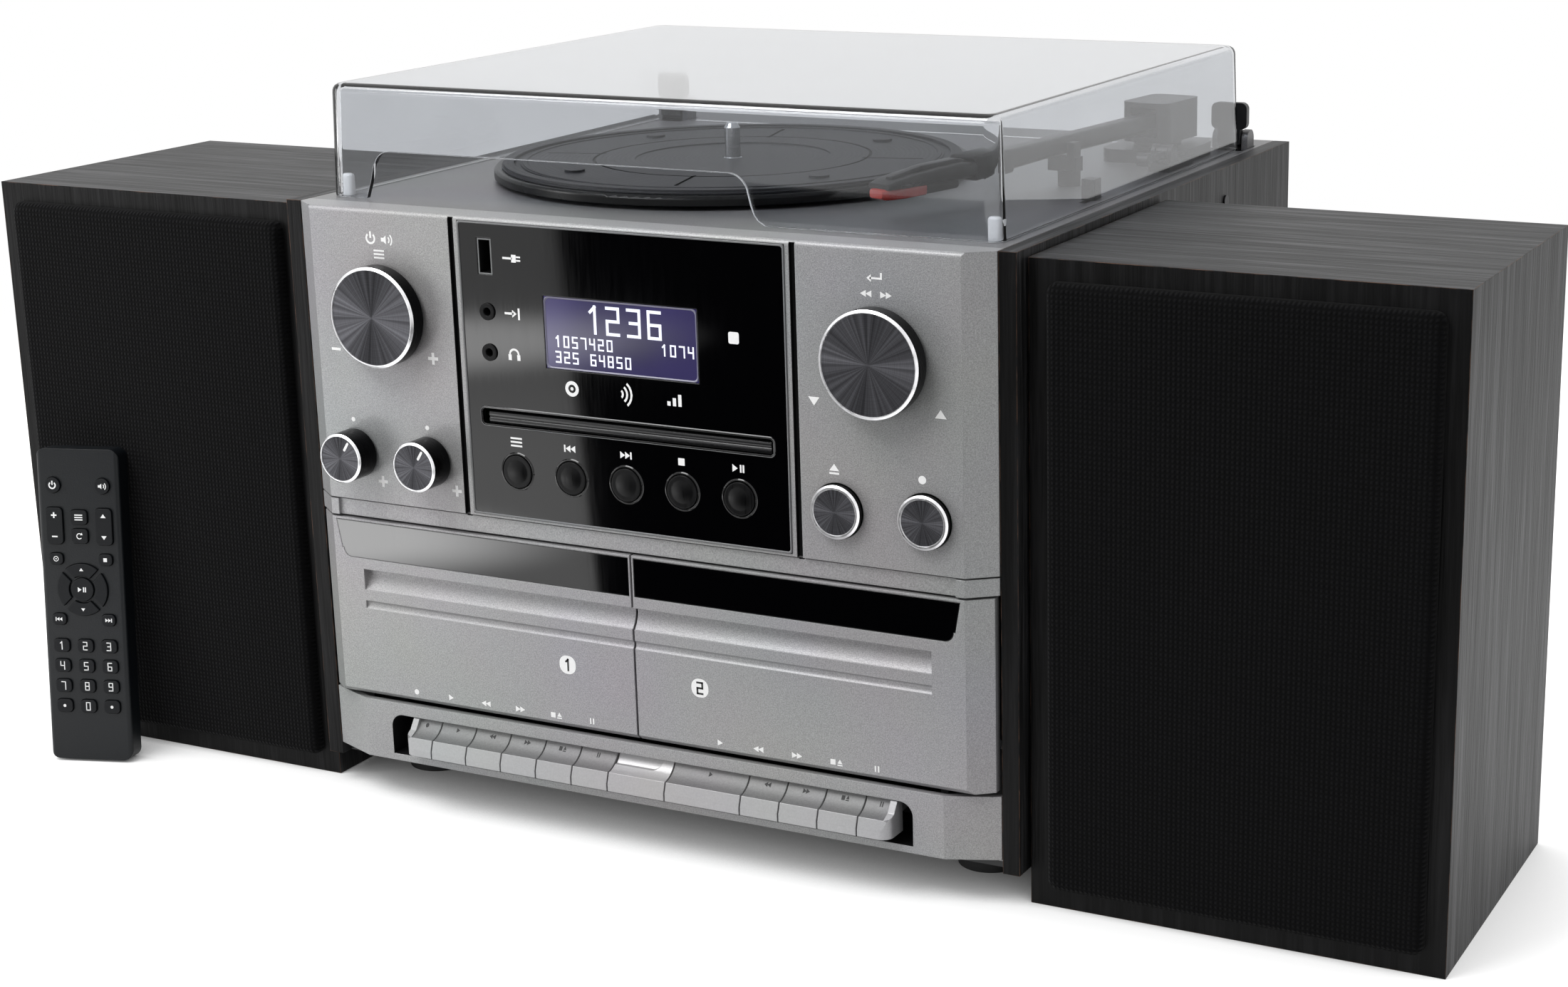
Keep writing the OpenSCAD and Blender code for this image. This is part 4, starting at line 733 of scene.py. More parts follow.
class CENTRE_OT_inside(bpy.types.Operator):
    """Finishes the board, the drive, the mechanisms and the sockets by what each part of them is"""

    bl_idname = "centre.inside"
    bl_label = "Inside"
    bl_options = {"REGISTER", "UNDO"}

    def execute(self, context):
        def electronics(x, y, z, n):
            behind_front, on_board = y < 40, 13.8 < y < 15.8 and abs(n.y) > 0.9
            transformer = 69 < x < 135 and 210 < y < 272
            winding = y < 219.8 or y > 262.2 or (81.2 < x < 122.8 and 29 < z < 61)
            above_power_board, heat_sink = z > 25.7, x < -75
            if behind_front:
                return "board" if on_board else "dark"
            if transformer:
                return "copper" if winding else "zinc"
            if above_power_board:
                return "zinc" if heat_sink else "dark"
            return "board"

        def drive(x, y, z, n):
            belt = 260.3 < z < 264.7 and math.hypot(x - PLATTER[0], y - PLATTER[1]) > 8
            motor = x < -60
            return "rubber" if belt else "zinc" if motor else "steel"

        def mechanism(x, y, z, n):
            hub = 13 < y < 24 and 85 < z < 101
            return "dark" if hub else "zinc"

        def sockets(x, y, z, n):
            on_front, data_port, highlit_mouth = y < 100, z > 240, n.y < -0.7 and y < 1
            if on_front:
                # the data port's forward faces are light grey: painted highlight; the rest of it is black
                return "rim" if data_port and highlit_mouth else "dark" if data_port or y > 0.5 else "button"
            away = math.hypot(min(abs(x - 60), abs(x - 90)), z - 42)
            output_sockets = 55 < x < 95 and away < 4.4
            return "nickel" if output_sockets else "black"

        paint("electronics", electronics)
        paint("turntable_drive", drive)
        paint("cassette_mechanisms", mechanism)
        paint("connectors", sockets)
        return {"FINISHED"}


class CENTRE_OT_front_marks(bpy.types.Operator):
    """Prints the plain symbols on the front, and fits the panel's light rim and the slot's lips"""

    bl_idname = "centre.front_marks"
    bl_label = "Front marks"
    bl_options = {"REGISTER", "UNDO"}

    def execute(self, context):
        marks = symbols(
            ("minus", 2.3, -145, 206), ("plus", 2.5, -94, 206), ("dot", 1.7, -138.6, 175.4),
            ("dot", 1.7, -99.5, 175.3), ("plus", 2.4, -124.9, 148.9), ("plus", 2.4, -86, 148.8),
            ("down", 2.5, 89.1, 204.8), ("up", 2.5, 144.6, 204.2), ("eject", 2.2, 97.4, 177.7),
            ("record", 2.0, 136.2, 177.4), ("power", 2.1, -122.5, 255.6), ("sound", 2.1, -114.5, 255.4),
            ("menu", 1.8, -118.6, 249.0), ("enter", 1.9, 117.6, 255.6), ("rewind", 1.5, 113.2, 249.4),
            ("forward", 1.5, 121.8, 249.2),
        )
        print_marks("marks_front", marks, "ink", "cabinet", front_place())
        lo, hi = box_mm("front_panel")
        face = lo.y
        marks = symbols(
            ("plug", 2.3, -51.2, 251.8), ("line_in", 2.2, -52, 228.6), ("phones", 2.4, -52.3, 211.3),
            ("square", 2.7, 53.5, 227), ("menu", 1.9, -53.8, 173.6), ("previous", 1.7, -26.9, 173.4),
            ("next", 1.7, 0, 173.4), ("stop", 1.9, 26.9, 173.4), ("play_pause", 1.8, 53.8, 173.4),
            ("disc", 3.0, -24.5, 199.2), ("waves", 2.6, 1.5, 199.2), ("bars", 2.6, 25, 198.8),
        )
        print_marks("marks_panel", marks, "ink", "cabinet", front_place(face))
        # the rim round the panel: a light grey strip 1 mm wide, a painted highlight of its edge
        width, height, middle = 2 * hi.x, hi.z - lo.z, (lo.z + hi.z) / 2
        strip = ((-0.05, 0.9), (-0.05, -0.3), (-0.2, -0.45), (-0.6, -0.45), (-0.8, -0.25), (-0.8, 0.05))
        moulding("panel_rim_painted_highlight", "rim", width, height, 1.2, middle, face, strip, steps=3)
        # two lips meet in the slot and keep dust out
        bm = bmesh.new()
        front, back, end = 1.6, 3.4, 0.3
        for low, high in ((-3.2, -0.62), (-0.58, 1.9)):
            outline = [(front, low), (1.25, low + end), (1.1, (low + high) / 2), (1.25, high - end),
                       (front, high), (back, high), (back, low)]
            prism(bm, outline, -67.6, 68.6, lambda u, v, w: at(w, face + u, SLOT_Z + v))
        finish_mesh("slot_lips", bm, "lips", "cabinet", 50)
        # the slot's moulded edge: a black flange with a thin light grey line on it, a painted highlight
        flange = ((0.0, 1.0), (0.0, -0.02), (0.2, -0.25), (0.7, -0.3), (1.1, 0.0))
        line = ((0.66, -0.29), (0.7, -0.38), (0.86, -0.38), (0.9, -0.2))
        for name, finish, strip in (("slot_flange", "gloss", flange), ("slot_edge_painted_highlight", "rim", line)):
            moulding(name, finish, SLOT_W, SLOT_H, 1.5, SLOT_Z, face, strip, follow=True)
        return {"FINISHED"}


class CENTRE_OT_display(bpy.types.Operator):
    """Lights the display, writes plain figures on it and frames it"""

    bl_idname = "centre.display"
    bl_label = "Display"
    bl_options = {"REGISTER", "UNDO"}

    def execute(self, context):
        paint("display_module", lambda x, y, z, n: "backlight" if y < 1 and n.y < -0.5 else "dark")
        face = box_mm("display_module")[0].y
        marks = [(digit(c, 10.8, 0.24), x, DISPLAY_Z + 6.9) for c, x in zip("1236", (-12.5, -3.4, 6.6, 16.4))]
        step = 4.2
        rows = (("1057420", -30.6, -3.4), ("1074", 20.6, -3.0), ("325", -30.6, -10), ("64850", -13.6, -10))
        for text, x, z in rows:
            marks += [(digit(c, 4.3, 0.31), x + step * i, DISPLAY_Z + z) for i, c in enumerate(text)]
        print_marks("display_figures", marks, "segment", "cabinet", front_place(face), 0.04)
        strip = ((-0.05, 0.2), (-0.05, -0.3), (-0.3, -0.4), (-0.75, -0.05), (-0.75, 0.2))
        moulding("display_frame", "display_edge", 73, 30.2, 2.0, DISPLAY_Z, face, strip)
        return {"FINISHED"}


def knob_profile(radius, out, back, rim=1.0):
    """A turned cap with a spun face 0, diamond-cut rim 1 and dark side 2; heights are out of the front."""
    floor = min(out - 2.5, back + 3)
    hub = back + 0.1
    return [
        (0, out - 0.4, 0), (radius - rim - 0.35, out - 0.4, 1), (radius - rim - 0.2, out, 1),
        (radius - rim, out, 1), (radius, out - 0.75, 2), (radius, back + 0.4, 2), (radius - 0.4, back, 2),
        (radius - 1.6, back, 2), (radius - 1.6, floor, 2), (SHAFT_WALL, floor, 2), (SHAFT_WALL, hub, 2),
        (0, hub, 2),
    ]


class CENTRE_OT_knobs(bpy.types.Operator):
    """Turns the two large knobs, the tone knobs and the two push buttons beside them"""

    bl_idname = "centre.knobs"
    bl_label = "Knobs"
    bl_options = {"REGISTER", "UNDO"}

    def execute(self, context):
        finishes = "spun bevel knob_side"
        profile = knob_profile(21.7, 9.4, 1.6)
        for side, name in ((-1, "volume"), (1, "select")):
            x, body = side * KNOB_X, f"{name}_knob_body"
            cap = lathe_piece(f"{name}_cap", profile, finishes, body, x, KNOB_Z, 160)
            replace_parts(cap, f"{name}_knob")
        profile = knob_profile(10.9, 12.8, 0.8, 0.8)
        for side, name in ((-1, "bass"), (1, "treble")):
            x, body = side * ROW_STEP - KNOB_X, f"{name}_knob_body"
            cap = lathe_piece(f"{name}_cap", profile, finishes, body, x, ROW_Z, 112)
            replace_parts(cap, f"{name}_knob")
            # the stem behind the cap, and the filled pointer line cut into its face
            stem = [(3, 0.9, 0), (3, -19, 0), (0, -19, 0)]
            lathe_piece(f"{name}_stem", stem, "steel", body, x, ROW_Z, 40)
            tilt = Matrix.Rotation(math.radians(-33), 2)
            line = [tuple(tilt @ Vector(p)) for p in round_rect(1.15, 4.6, 0.55, 4, 0.0, 6.6)]
            print_marks(f"{name}_pointer", [([line], x, ROW_Z)], "ink", body, front_place(-12.4), 0.12)
        profile = [(0, 3.1, 0), (9.3, 3.1, 1), (9.5, 3.5, 1), (10.3, 3.5, 1), (11.1, 2.7, 2), (11.1, 0.1, 2),
                   (10.7, -0.3, 2), (2.4, -0.4, 2), (2.4, -10, 2), (0, -10, 2)]
        for side, name in ((-1, "eject"), (1, "record")):
            x, body = KNOB_X + side * ROW_STEP, f"{name}_button_body"
            cap = lathe_piece(f"{name}_cap", profile, finishes, body, x, ROW_Z, 112)
            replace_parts(cap, f"{name}_button")
        lip = [(7.42, -0.8, 0), (7.42, 0.2, 0), (7.6, 0.42, 0), (7.95, 0.42, 0), (8.35, 0.0, 0)]
        for i in range(5):
            lathe_piece(f"button_ring_{i + 1}", lip, "gloss", "cabinet", (i - 2) * BUTTON_STEP, ROW_Z, 72)
        return {"FINISHED"}


class CENTRE_OT_doors(bpy.types.Operator):
    """Prints the deck numbers and key symbols on the cassette doors"""

    bl_idname = "centre.doors"
    bl_label = "Cassette doors"
    bl_options = {"REGISTER", "UNDO"}

    def execute(self, context):
        size, row_z = 1.45, 53.8
        left = (("record", -114.7), ("play", -96.2), ("rewind", -77.7), ("forward", -59.8),
                ("stop_eject", -41.2), ("pause", -23))
        right = (("play", 40.2), ("rewind", 58.6), ("forward", 76.7), ("stop_eject", 95.1), ("pause", 113.7))
        for side, row, number, x, z in (("left", left, "1", -34, 77.7), ("right", right, "2", 31.4, 76.6)):
            body = f"{side}_door"
            marks = symbols(*((kind, size, u, row_z) for kind, u in row))
            marks.append(([round_rect(8.2, 8.2, 3.6, 8)], x, z))
            print_marks(f"marks_{side}_door", marks, "ink", body, front_place())
            # the number lies on its white field
            figure = [(digit(number, 4.8, 0.34), x, z)]
            print_marks(f"number_{side}_door", figure, "engraved", body, front_place(-0.05))
        return {"FINISHED"}


class CENTRE_OT_keys(bpy.types.Operator):
    """Engraves a small symbol in the hollow face of each cassette key"""

    bl_idname = "centre.keys"
    bl_label = "Cassette keys"
    bl_options = {"REGISTER", "UNDO"}

    def execute(self, context):
        def face(u, v, w):
            hollow_y, hollow_z, radius = KEY_HOLLOW
            return at(u, hollow_y + math.sqrt(radius**2 - (v - hollow_z) ** 2) - w, v)

        for node in KEYS:
            lo, hi = box_mm(node)
            kind = node[len("key_a_"):]
            marks = symbols(("stop_eject" if kind == "stop" else kind, 0.95, (lo.x + hi.x) / 2, 38.6))
            print_marks(f"symbol_{node}", marks, "engraved", f"{node}_body", face, 0.06)
        return {"FINISHED"}


class CENTRE_OT_record_deck(bpy.types.Operator):
    """Finishes the platter mat and stands the white stops in the front corners of the deck"""

    bl_idname = "centre.record_deck"
    bl_label = "Record deck"
    bl_options = {"REGISTER", "UNDO"}

    def execute(self, context):
        def ribbed(x, y, z, n):
            # a wide groove lies between the label and the rim; its floor and walls are painted matt black,
            # painted shade
            away = math.hypot(x - PLATTER[0], y - PLATTER[1])
            floor = z < DECK + 7.2 or (z < DECK + 7.55 and abs(n.z) < 0.5)
            return "dark" if floor and 59.5 < away < 89 else "mat"

        paint("platter_mat", ribbed)
        for side, name in ((-1, "left"), (1, "right")):
            bm = bmesh.new()
            rings = []
            for a, b, height in ((2.8, 2.0, 0.0), (2.8, 2.0, 8.2), (2.5, 1.7, 9.0), (1.8, 1.2, 9.4)):
                outline = round_rect(2 * a, 2 * b, 1.5, 4)
                rings.append([at(side * 154.7 + u, 29.6 + v, DECK + height) for u, v in outline])
            ring_loft(bm, rings)
            finish_mesh(f"cover_stop_{name}", bm, "pale", "cabinet", 40)
        return {"FINISHED"}


class CENTRE_OT_tonearm(bpy.types.Operator):
    """Builds the arm, its headshell with a finger lift, the red cartridge and the stylus"""

    bl_idname = "centre.tonearm"
    bl_label = "Tonearm"
    bl_options = {"REGISTER", "UNDO"}

    def execute(self, context):
        turn = Matrix.Rotation(ARM_TURN, 4, "Z")
        head = turn @ Matrix.Translation((0, HEAD_START, 0)) @ Matrix.Rotation(HEAD_TURN, 4, "Z")

        def place(x, y, z, way):
            p = way @ Vector((x, y, 0))
            return at(ARM[0] + p.x, ARM[1] + p.y, z)

        def bar(bm, way, *sections):
            """Lofts sections of (y along the arm or the head, width, bottom z, top z, corner radius)."""
            rings = []
            for y, w, z0, z1, r in sections:
                outline = round_rect(w, z1 - z0, r, 4, 0, (z0 + z1) / 2)
                rings.append([place(u, y, v, way) for u, v in outline])
            ring_loft(bm, rings)

        bm = bmesh.new()
        bar(bm, turn, (10.0, 5.5, 282.5, 287.5, 1.5), (9.4, 7.4, 281.4, 288.6, 2.2),
            (-20, 9, 281, 289.4, 2.6), (-60, 9.4, 281.2, 289.2, 2.6), (-110, 10, 281.2, 289.2, 2.4),
            (-140, 11, 280.8, 289.4, 2.0))
        # the thick collar that the headshell plugs into
        bar(bm, turn, (-139.6, 13, 280.6, 289.2, 1.6), (-140.4, 14.4, 280.0, 290.0, 1.8),
            (-164.4, 14.4, 280.0, 290.2, 1.8), (-165.6, 12.6, 280.6, 289.4, 1.4))
        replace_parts(finish_mesh("arm_tube", bm, "arm", "arm", 40), "tonearm")
        bm = bmesh.new()
        bar(bm, head, (4.0, 9, 281.8, 287.0, 1.4), (0.5, 14, 281.6, 288.2, 1.8),
            (-10, 16.2, 281.6, 288.4, 2.2), (-22, 16.8, 281.7, 287.8, 2.4), (-36, 15.8, 281.8, 286.6, 2.2),
            (-46, 13.8, 281.8, 285.0, 1.4), (-49.8, 11.8, 281.9, 284.0, 0.9))
        # the black body of the cartridge, behind the red front
        bar(bm, head, (-9, 9.6, 278.6, 282.2, 0.8), (-10.5, 11, 278.2, 282.2, 0.8),
            (-27.4, 11, 277.9, 282.2, 0.8), (-28, 10.4, 278.2, 282.2, 0.8))
        # a raised rib along the middle of the headshell
        bar(bm, head, (-3, 4.4, 286, 289.0, 0.8), (-8, 6, 286, 289.8, 0.8), (-28, 5.4, 285, 289.0, 0.8),
            (-44, 3.6, 284.0, 286.2, 0.8))
        # the finger lift: a thin strip that curls up at its end
        strip = [(7.2, 282.6), (10.5, 282.8), (13.2, 283.6), (15.2, 285.2)]
        thick = 1.1
        for a, b in zip(strip, strip[1:]):
            v = [bm.verts.new(place(x, y, z + dz, head))
                 for x, z in (a, b) for y in (-44.2, -40.8) for dz in (0, thick)]
            for side in ((0, 1, 3, 2), (4, 6, 7, 5), (0, 4, 5, 1), (2, 3, 7, 6), (1, 5, 7, 3), (0, 2, 6, 4)):
                bm.faces.new([v[i] for i in side])
        finish_mesh("headshell", bm, "arm", "arm", 40)
        bm = bmesh.new()
        bar(bm, head, (-27.8, 10.6, 278.0, 282.0, 0.8), (-28.6, 11.6, 277.6, 282.2, 1.0),
            (-40, 11.6, 277.4, 282.2, 1.2), (-47, 11.0, 277.6, 282.2, 1.4), (-50.2, 9.4, 277.9, 282.2, 1.4),
            (-51.4, 7.2, 278.6, 281.9, 1.0))
        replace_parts(finish_mesh("cartridge_red", bm, "red", "arm", 40), "cartridge")
        # the cantilever with six edges, and the tip with four that stands down from its end
        bm = bmesh.new()
        six, four = (0, 1.05, 2.09, 3.14, 4.19, 5.24), (0, 1.57, 3.14, 4.71)
        ring_loft(bm, [[place(math.cos(a) * r, y, z + math.sin(a) * r, head) for a in six]
                       for y, z, r in ((-36, 277.6, 0.4), (-46.2, 276.9, 0.3))])
        ring_loft(bm, [[place(math.cos(a) * r, -46 + math.sin(a) * r, z, head) for a in four]
                       for z, r in ((277.0, 0.3), (276.4, 0.06))])
        finish_mesh("stylus", bm, "steel", "arm", 30)
        return {"FINISHED"}


class CENTRE_OT_cover(bpy.types.Operator):
    """Moulds the clear cover with drafted walls, round edges and the finger cut-out"""

    bl_idname = "centre.cover"
    bl_label = "Clear cover"
    bl_options = {"REGISTER", "UNDO"}

    def execute(self, context):
        lo, hi = box_mm("dust_cover")
        z0, z1 = lo.z, hi.z
        wide, deep, middle = hi.x - lo.x, hi.y - lo.y, (lo.y + hi.y) / 2
        draft, wall, corner, edge_steps = 1.6, 2.5, 7, 6

        def shell(inset, top, radius):
            """Rings up a wall that leans in by the draft, and over the round edge at its top."""
            rows = [(z0, inset)]
            for k in range(edge_steps + 1):
                a = math.radians(90 * k / edge_steps)
                rows.append((top - radius + radius * math.sin(a), inset + draft + radius * (1 - math.cos(a))))
            rings = []
            for z, grow in rows:
                outline = round_rect(wide - 2 * grow, deep - 2 * grow, corner - min(grow, 3), 8)
                rings.append([at(u, middle + v, z) for u, v in outline])
            return ring_loft(bm, rings, False, True)[0]

        bm = bmesh.new()
        outer, inner = shell(0.0, z1, 4.0), shell(wall, z1 - wall, 2.0)
        n = len(outer)
        for i in range(n):
            bm.faces.new((outer[(i + 1) % n], outer[i], inner[i], inner[(i + 1) % n]))
        cover = finish_mesh("clear_cover_shell", bm, "clear", "cover", 40)
        # the finger cut-out in the front wall: round upper corners and a flare at the foot on the right
        curve = [(-141, 262), (-140, z0), (-137.4, 276), (-135.6, 283)] + arc(7.5, 160, 90, 5, -127.8, 281.2)
        curve += arc(9.5, 90, 10, 8, 39.5, 279.2)
        curve += [(50.2, 276), (51.6, 272.4), (53.4, 270.2), (56.4, z0 + 0.2), (60, 262)]
        bm = bmesh.new()
        prism(bm, curve, 12, 32, lambda u, v, w: at(u, w, v))
        bmesh.ops.recalc_face_normals(bm, faces=bm.faces)
        cutter = new_object("cutter", bm, angle=40)
        cut = cover.modifiers.new("cut", "BOOLEAN")
        cut.object, cut.operation, cut.solver = cutter, "DIFFERENCE", "EXACT"
        edge = cover.modifiers.new("edge", "BEVEL")
        edge.width, edge.segments, edge.limit_method, edge.angle_limit = 0.0005, 2, "ANGLE", math.radians(50)
        # large faces keep their own normals, so that flat walls stay flat to light passing through
        even = cover.modifiers.new("even", "WEIGHTED_NORMAL")
        even.keep_sharp, even.weight = True, 100
        mesh = bpy.data.meshes.new_from_object(cover.evaluated_get(bpy.context.evaluated_depsgraph_get()))
        cover.modifiers.clear()
        cover.data = mesh
        bpy.data.objects.remove(cutter)
        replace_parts(cover, "dust_cover")
        return {"FINISHED"}


class CENTRE_OT_speakers(bpy.types.Operator):
    """Veneers the loudspeakers and stretches cloth over their grille frames"""

    bl_idname = "centre.speakers"
    bl_label = "Loudspeakers"
    bl_options = {"REGISTER", "UNDO"}

    def execute(self, context):
        for side in ("left", "right"):
            self.veneer(side)
            self.stretch(side)
        return {"FINISHED"}

    def veneer(self, side):
        lo, hi = box_mm(f"speaker_{side}_cabinet")
        cx, top, skin = (lo.x + hi.x) / 2, hi.z, 0.5

        def finish(x, y, z, n):
            sides = x < lo.x + skin or x > hi.x - skin
            top_or_bottom = z > top - skin or z < skin
            # the cabinet's forward faces get the darker copy of the veneer: painted shade
            shaded_front_edge = y < 16.9 and n.y < -0.9
            from_socket = math.hypot(x - cx, z - top * 0.15)
            from_driver = math.hypot(x - cx, z - top * 0.4)
            if sides:
                return "ash_up"
            if top_or_bottom:
                return "ash_across"
            if shaded_front_edge:
                return "ash_front_shaded"
            if y > 150 and from_socket < 8:
                return "nickel" if from_socket < 4.3 else "black"
            if y > 159:
                return "ash_up"
            return "paper" if from_driver < 58 and y < 75 else "dark"

        paint(f"speaker_{side}_cabinet", finish)

    def stretch(self, side):
        lo, hi = box_mm(f"speaker_{side}_grille")
        w, h, y0, y1 = hi.x - lo.x, hi.z - lo.z, lo.y, hi.y
        mx, mz = (lo.x + hi.x) / 2, (lo.z + hi.z) / 2
        corner, edge, edge_steps = 4.5, 4.0, 6
        for part, inset in (("frame", 0.5), ("cloth", 0.0)):
            rows = [(y1, inset, corner)]
            for k in range(edge_steps + 1):
                t = math.radians(90 * k / edge_steps)
                rows.append((y0 + inset + edge * (1 - math.sin(t)), inset + edge * (1 - math.cos(t)),
                             corner - 0.6 * k / edge_steps))
            # the flat front goes on inwards in one more ring, so that its shading stays flat
            rows.append((y0 + inset, inset + 6, 3.5))
            bm = bmesh.new()
            rings = [[at(mx + u, y, mz + v) for u, v in round_rect(w - 2 * grow, h - 2 * grow, r)]
                     for y, grow, r in rows]
            ring_loft(bm, rings, part == "frame", True)
            area = sum(face.calc_area() for face in bm.faces)
            finish = "dark" if part == "frame" else "cloth"
            obj = finish_mesh(f"grille_{part}_{side}", bm, finish, f"{side}_speaker", 50)
        # the cloth, made last, is cut to the front, its round edges and its sides
        quarter = 6.28  # along the quarter circle of an edge, mm
        wrap = 2 * (quarter + y1 - y0 - 2 * edge)
        flat = ((w + wrap) / 1000, (h + wrap) / 1000)
        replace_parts(obj, f"speaker_{side}_grille")
        area = min(area, flat[0] * flat[1])


class CENTRE_OT_remote(bpy.types.Operator):
    """Prints plain symbols on the remote control's keys"""

    bl_idname = "centre.remote"
    bl_label = "Remote control"
    bl_options = {"REGISTER", "UNDO"}

    def execute(self, context):
        lean, turn = math.radians(6), math.radians(18)
        half_width, height, thick = 20, 147, 11.0
        back = thick - half_width * math.sin(turn) - height * math.sin(lean) * math.cos(turn)
        base = Vector((-294.38, back, 0))
        spin = Matrix.Rotation(turn, 4, "Z") @ Matrix.Rotation(-lean, 4, "X")

        def place(u, v, w):
            return at(*(base + spin @ Vector((u, -thick - w, v))))

        marks = symbols(
            ("power", 1.5, -12, 130), ("sound", 1.4, 12, 130), ("plus", 1.3, -12, 116),
            ("minus", 1.3, -12, 106), ("up", 1.3, 12, 116), ("down", 1.3, 12, 106), ("menu", 1.3, 0, 115.2),
            ("turn", 1.3, 0, 106.4), ("ring", 1.1, -12, 95.5), ("stop", 1.1, 12, 95.5),
            ("previous", 1.0, -12, 67), ("next", 1.0, 12, 67), ("play_pause", 1.3, 0, 81.2),
            ("up", 1.0, 0, 90.6), ("down", 1.0, 0, 71.8),
        )
        # the number keys in four rows of three, with a dot each side of the nought
        for i, name in enumerate("123456789.0."):
            x, z = (i % 3 - 1) * 11.6, 54.5 - 9.6 * (i // 3)
            marks.append((glyph("dot", 1.2) if name == "." else digit(name, 3.6, 0.24), x, z))
        print_marks("marks_remote", marks, "ink", "remote", place)
        return {"FINISHED"}


def seen_rays(tree):
    """1 for rays from the camera, from mirrors and through glass, 0 for the rays that light the object."""
    path = add(tree, "LightPath").outputs
    seen = add(tree, "Math", {0: path["Is Camera Ray"], 1: path["Is Glossy Ray"]}, operation="MAXIMUM")
    return add(tree, "Math", {0: seen, 1: path["Is Transmission Ray"]}, operation="MAXIMUM")


def fade(tree, scale, low, high):
    """A soft step over the distance from the object's middle, from its (low) place to its (high) one."""
    place = add(tree, "TexCoord").outputs["Object"]
    shape = add(tree, "VectorMath", {0: place, 1: scale}, operation="MULTIPLY")
    away = add(tree, "VectorMath", {0: shape}, operation="LENGTH").outputs["Value"]
    return add(tree, "MapRange", {"Value": away, "From Min": low, "From Max": high},
               interpolation_type="SMOOTHSTEP")


def white_paper(name):
    """The floor: white paper that keeps the shadow, has a painted contact shadow where ambient occlusion dims
    its glow, and fades into the white studio 0.8 to 1.3 m away.
    """
    mat, tree, bsdf = start(name, Roughness=0.9, Base_Color=grey(0.5), Specular_IOR_Level=0.0)
    # ambient occlusion within 0.1 m dims the glow that seen rays get: a painted contact shadow
    contact_shadow = add(tree, "AmbientOcclusion", {"Distance": 0.1}, samples=8).outputs["AO"]
    lift = add(tree, "Math", {0: seen_rays(tree), 1: contact_shadow}, operation="MULTIPLY")
    lift = add(tree, "Math", {0: lift, 1: 1.12}, operation="MULTIPLY")
    glow = add(tree, "Emission", {"Color": grey(1.0), "Strength": lift})
    both = add(tree, "AddShader", {0: bsdf, 1: glow})
    clear = add(tree, "BsdfTransparent")
    out = add(tree, "MixShader", {0: fade(tree, (1, 1, 1), 0.8, 1.3), 1: both, 2: clear})
    wire(tree, tree.nodes["Material Output"], {"Surface": out})
    return mat


def white_card(name, size, strength):
    """A lit white card whose light fades softly towards its oval edge."""
    mat, tree, _ = start(name)
    soft = fade(tree, (1 / size[0], 1 / size[1], 0), 1.0, 0.35)
    glow = add(tree, "Emission", {"Color": grey(1.0), "Strength": strength})
    out = add(tree, "MixShader", {0: soft, 1: add(tree, "BsdfTransparent"), 2: glow})
    wire(tree, tree.nodes["Material Output"], {"Surface": out})
    return mat


def sheet(name, corners, mat, centre):
    """A flat piece of the studio round its own centre; it isn't part of the object."""
    bm = bmesh.new()
    bm.faces.new([bm.verts.new(p) for p in corners])
    obj = new_object(name, bm, [mat])
    obj.location = centre
    return obj


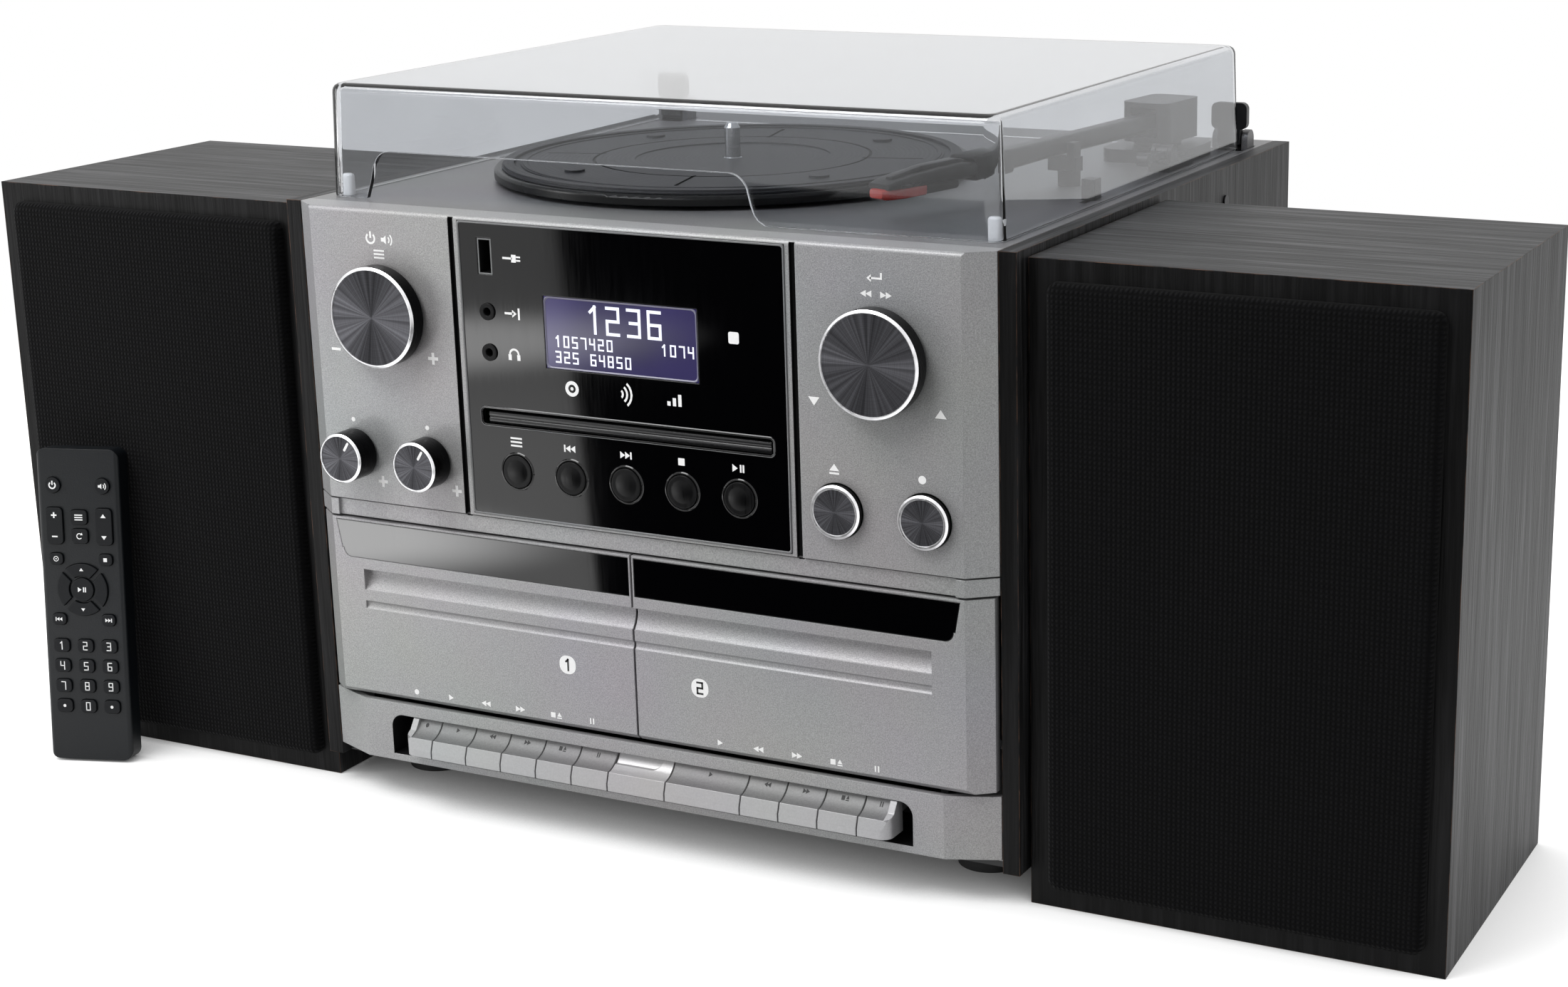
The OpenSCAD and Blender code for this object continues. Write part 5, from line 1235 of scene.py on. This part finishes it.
class CENTRE_OT_stage(bpy.types.Operator):
    """Sets the pale floor, the soft studio light and the camera"""

    bl_idname = "centre.stage"
    bl_label = "Stage"
    bl_options = {"REGISTER", "UNDO"}

    def execute(self, context):
        context.scene.view_settings.view_transform = "Standard"
        self.lay_floor()
        self.lay_cards()
        self.light(context.scene)
        self.aim_camera(context.scene)
        return {"FINISHED"}

    def lay_floor(self):
        reach, below = 1.4, 0.0002
        corners = [(u, v, 0) for u, v in block(-reach, reach, -reach, reach)]
        sheet("floor", corners, white_paper("paper_sweep_white"), (0, 0, CAD_BOX[0][2] - below))

    def lay_cards(self):
        """Puts a black card and two white ones in front, seen only in gloss and through the cover."""
        black = start("card_black_matt", Roughness=1.0, Base_Color=grey(0.0), Specular_IOR_Level=0.0)[0]
        origin = at(0, 0, 0)
        outline = ((-166, -225), (420, -225), (420, -2700), (-1897, -2700))
        cards = [sheet("card_black", [at(x, y, 0.3) - origin for x, y in outline], black, origin)]
        for name, x, y, half, turn, strength in (
            ("card_white_low", -445, -325, (0.19, 0.095), -8, 9.0),
            ("card_white_far", -720, -790, (0.26, 0.15), -30, 5.0),
        ):
            corners = [(u, v, 0) for u, v in block(-half[0], half[0], -half[1], half[1])]
            card = sheet(name, corners, white_card(f"{name}_glow", half, strength), at(x, y, 0.6))
            card.rotation_euler.z = math.radians(turn)
            cards.append(card)
        for card in cards:
            card.visible_camera = card.visible_diffuse = card.visible_shadow = False

    def light(self, scene):
        """A white world that lights the object dimly, and three soft boxes."""
        scene.world = bpy.data.worlds.new("studio")
        scene.world.use_nodes = True
        tree = scene.world.node_tree
        level = add(tree, "MapRange", {"Value": seen_rays(tree), "To Min": 0.4, "To Max": 1.0})
        wire(tree, tree.nodes["Background"], {"Color": grey(1.0), "Strength": level})
        aim = Vector((0.0, 0.0, 0.15))
        for name, place, size, power in (
            ("softbox_top", (-0.5, -0.85, 1.45), (1.0, 0.7), 20),
            ("softbox_left", (-1.45, -0.9, 0.55), (0.45, 0.9), 7),
            ("softbox_right", (1.5, -0.6, 1.1), (0.6, 0.9), 1.5),
        ):
            data = bpy.data.lights.new(name, "AREA")
            data.shape, data.size, data.size_y, data.energy = "RECTANGLE", size[0], size[1], power
            lamp = bpy.data.objects.new(name, data)
            scene.collection.objects.link(lamp)
            lamp.location = place
            lamp.rotation_euler = (aim - Vector(place)).to_track_quat("-Z", "Y").to_euler()

    def aim_camera(self, scene):
        """The camera that the photograph was solved for."""
        data = bpy.data.cameras.new("camera")
        data.sensor_width = 36
        data.lens = FOCAL_PX / PHOTO_W * data.sensor_width
        data.shift_x = (PHOTO_W / 2 - CENTRE_PX[0]) / PHOTO_W
        data.shift_y = (CENTRE_PX[1] - PHOTO_H / 2) / PHOTO_W
        data.clip_start, data.clip_end = 0.01, 50
        camera = bpy.data.objects.new("camera", data)
        scene.collection.objects.link(camera)
        camera.matrix_world = Matrix.Translation(at(*CAMERA_AT)) @ Matrix(CAMERA_AXES).transposed().to_4x4()
        scene.camera = camera


class CENTRE_PT_panel(bpy.types.Panel):
    """Lists the steps and the sizes and colours they use"""

    bl_idname = "CENTRE_PT_panel"
    bl_label = "Music centre"
    bl_space_type = "VIEW_3D"
    bl_region_type = "UI"
    bl_category = "Music centre"

    def draw(self, context):
        for key in CentreSettings.__annotations__:
            self.layout.prop(context.scene.centre_settings, key)
        for step in STEPS:
            self.layout.operator(step.bl_idname)


STEPS = (
    CENTRE_OT_finishes, CENTRE_OT_inside, CENTRE_OT_front_marks, CENTRE_OT_display, CENTRE_OT_knobs,
    CENTRE_OT_doors, CENTRE_OT_keys, CENTRE_OT_record_deck, CENTRE_OT_tonearm, CENTRE_OT_cover,
    CENTRE_OT_speakers, CENTRE_OT_remote, CENTRE_OT_stage,
)
CLASSES = (CentreSettings, *STEPS, CENTRE_PT_panel)


def register():
    for cls in CLASSES:
        bpy.utils.register_class(cls)
    bpy.types.Scene.centre_settings = bpy.props.PointerProperty(type=CentreSettings)


def unregister():
    del bpy.types.Scene.centre_settings
    for cls in reversed(CLASSES):
        bpy.utils.unregister_class(cls)


def main():
    register()
    for step in STEPS:
        getattr(bpy.ops.centre, step.bl_idname.split(".")[1])()


if __name__ == "__main__":
    main()
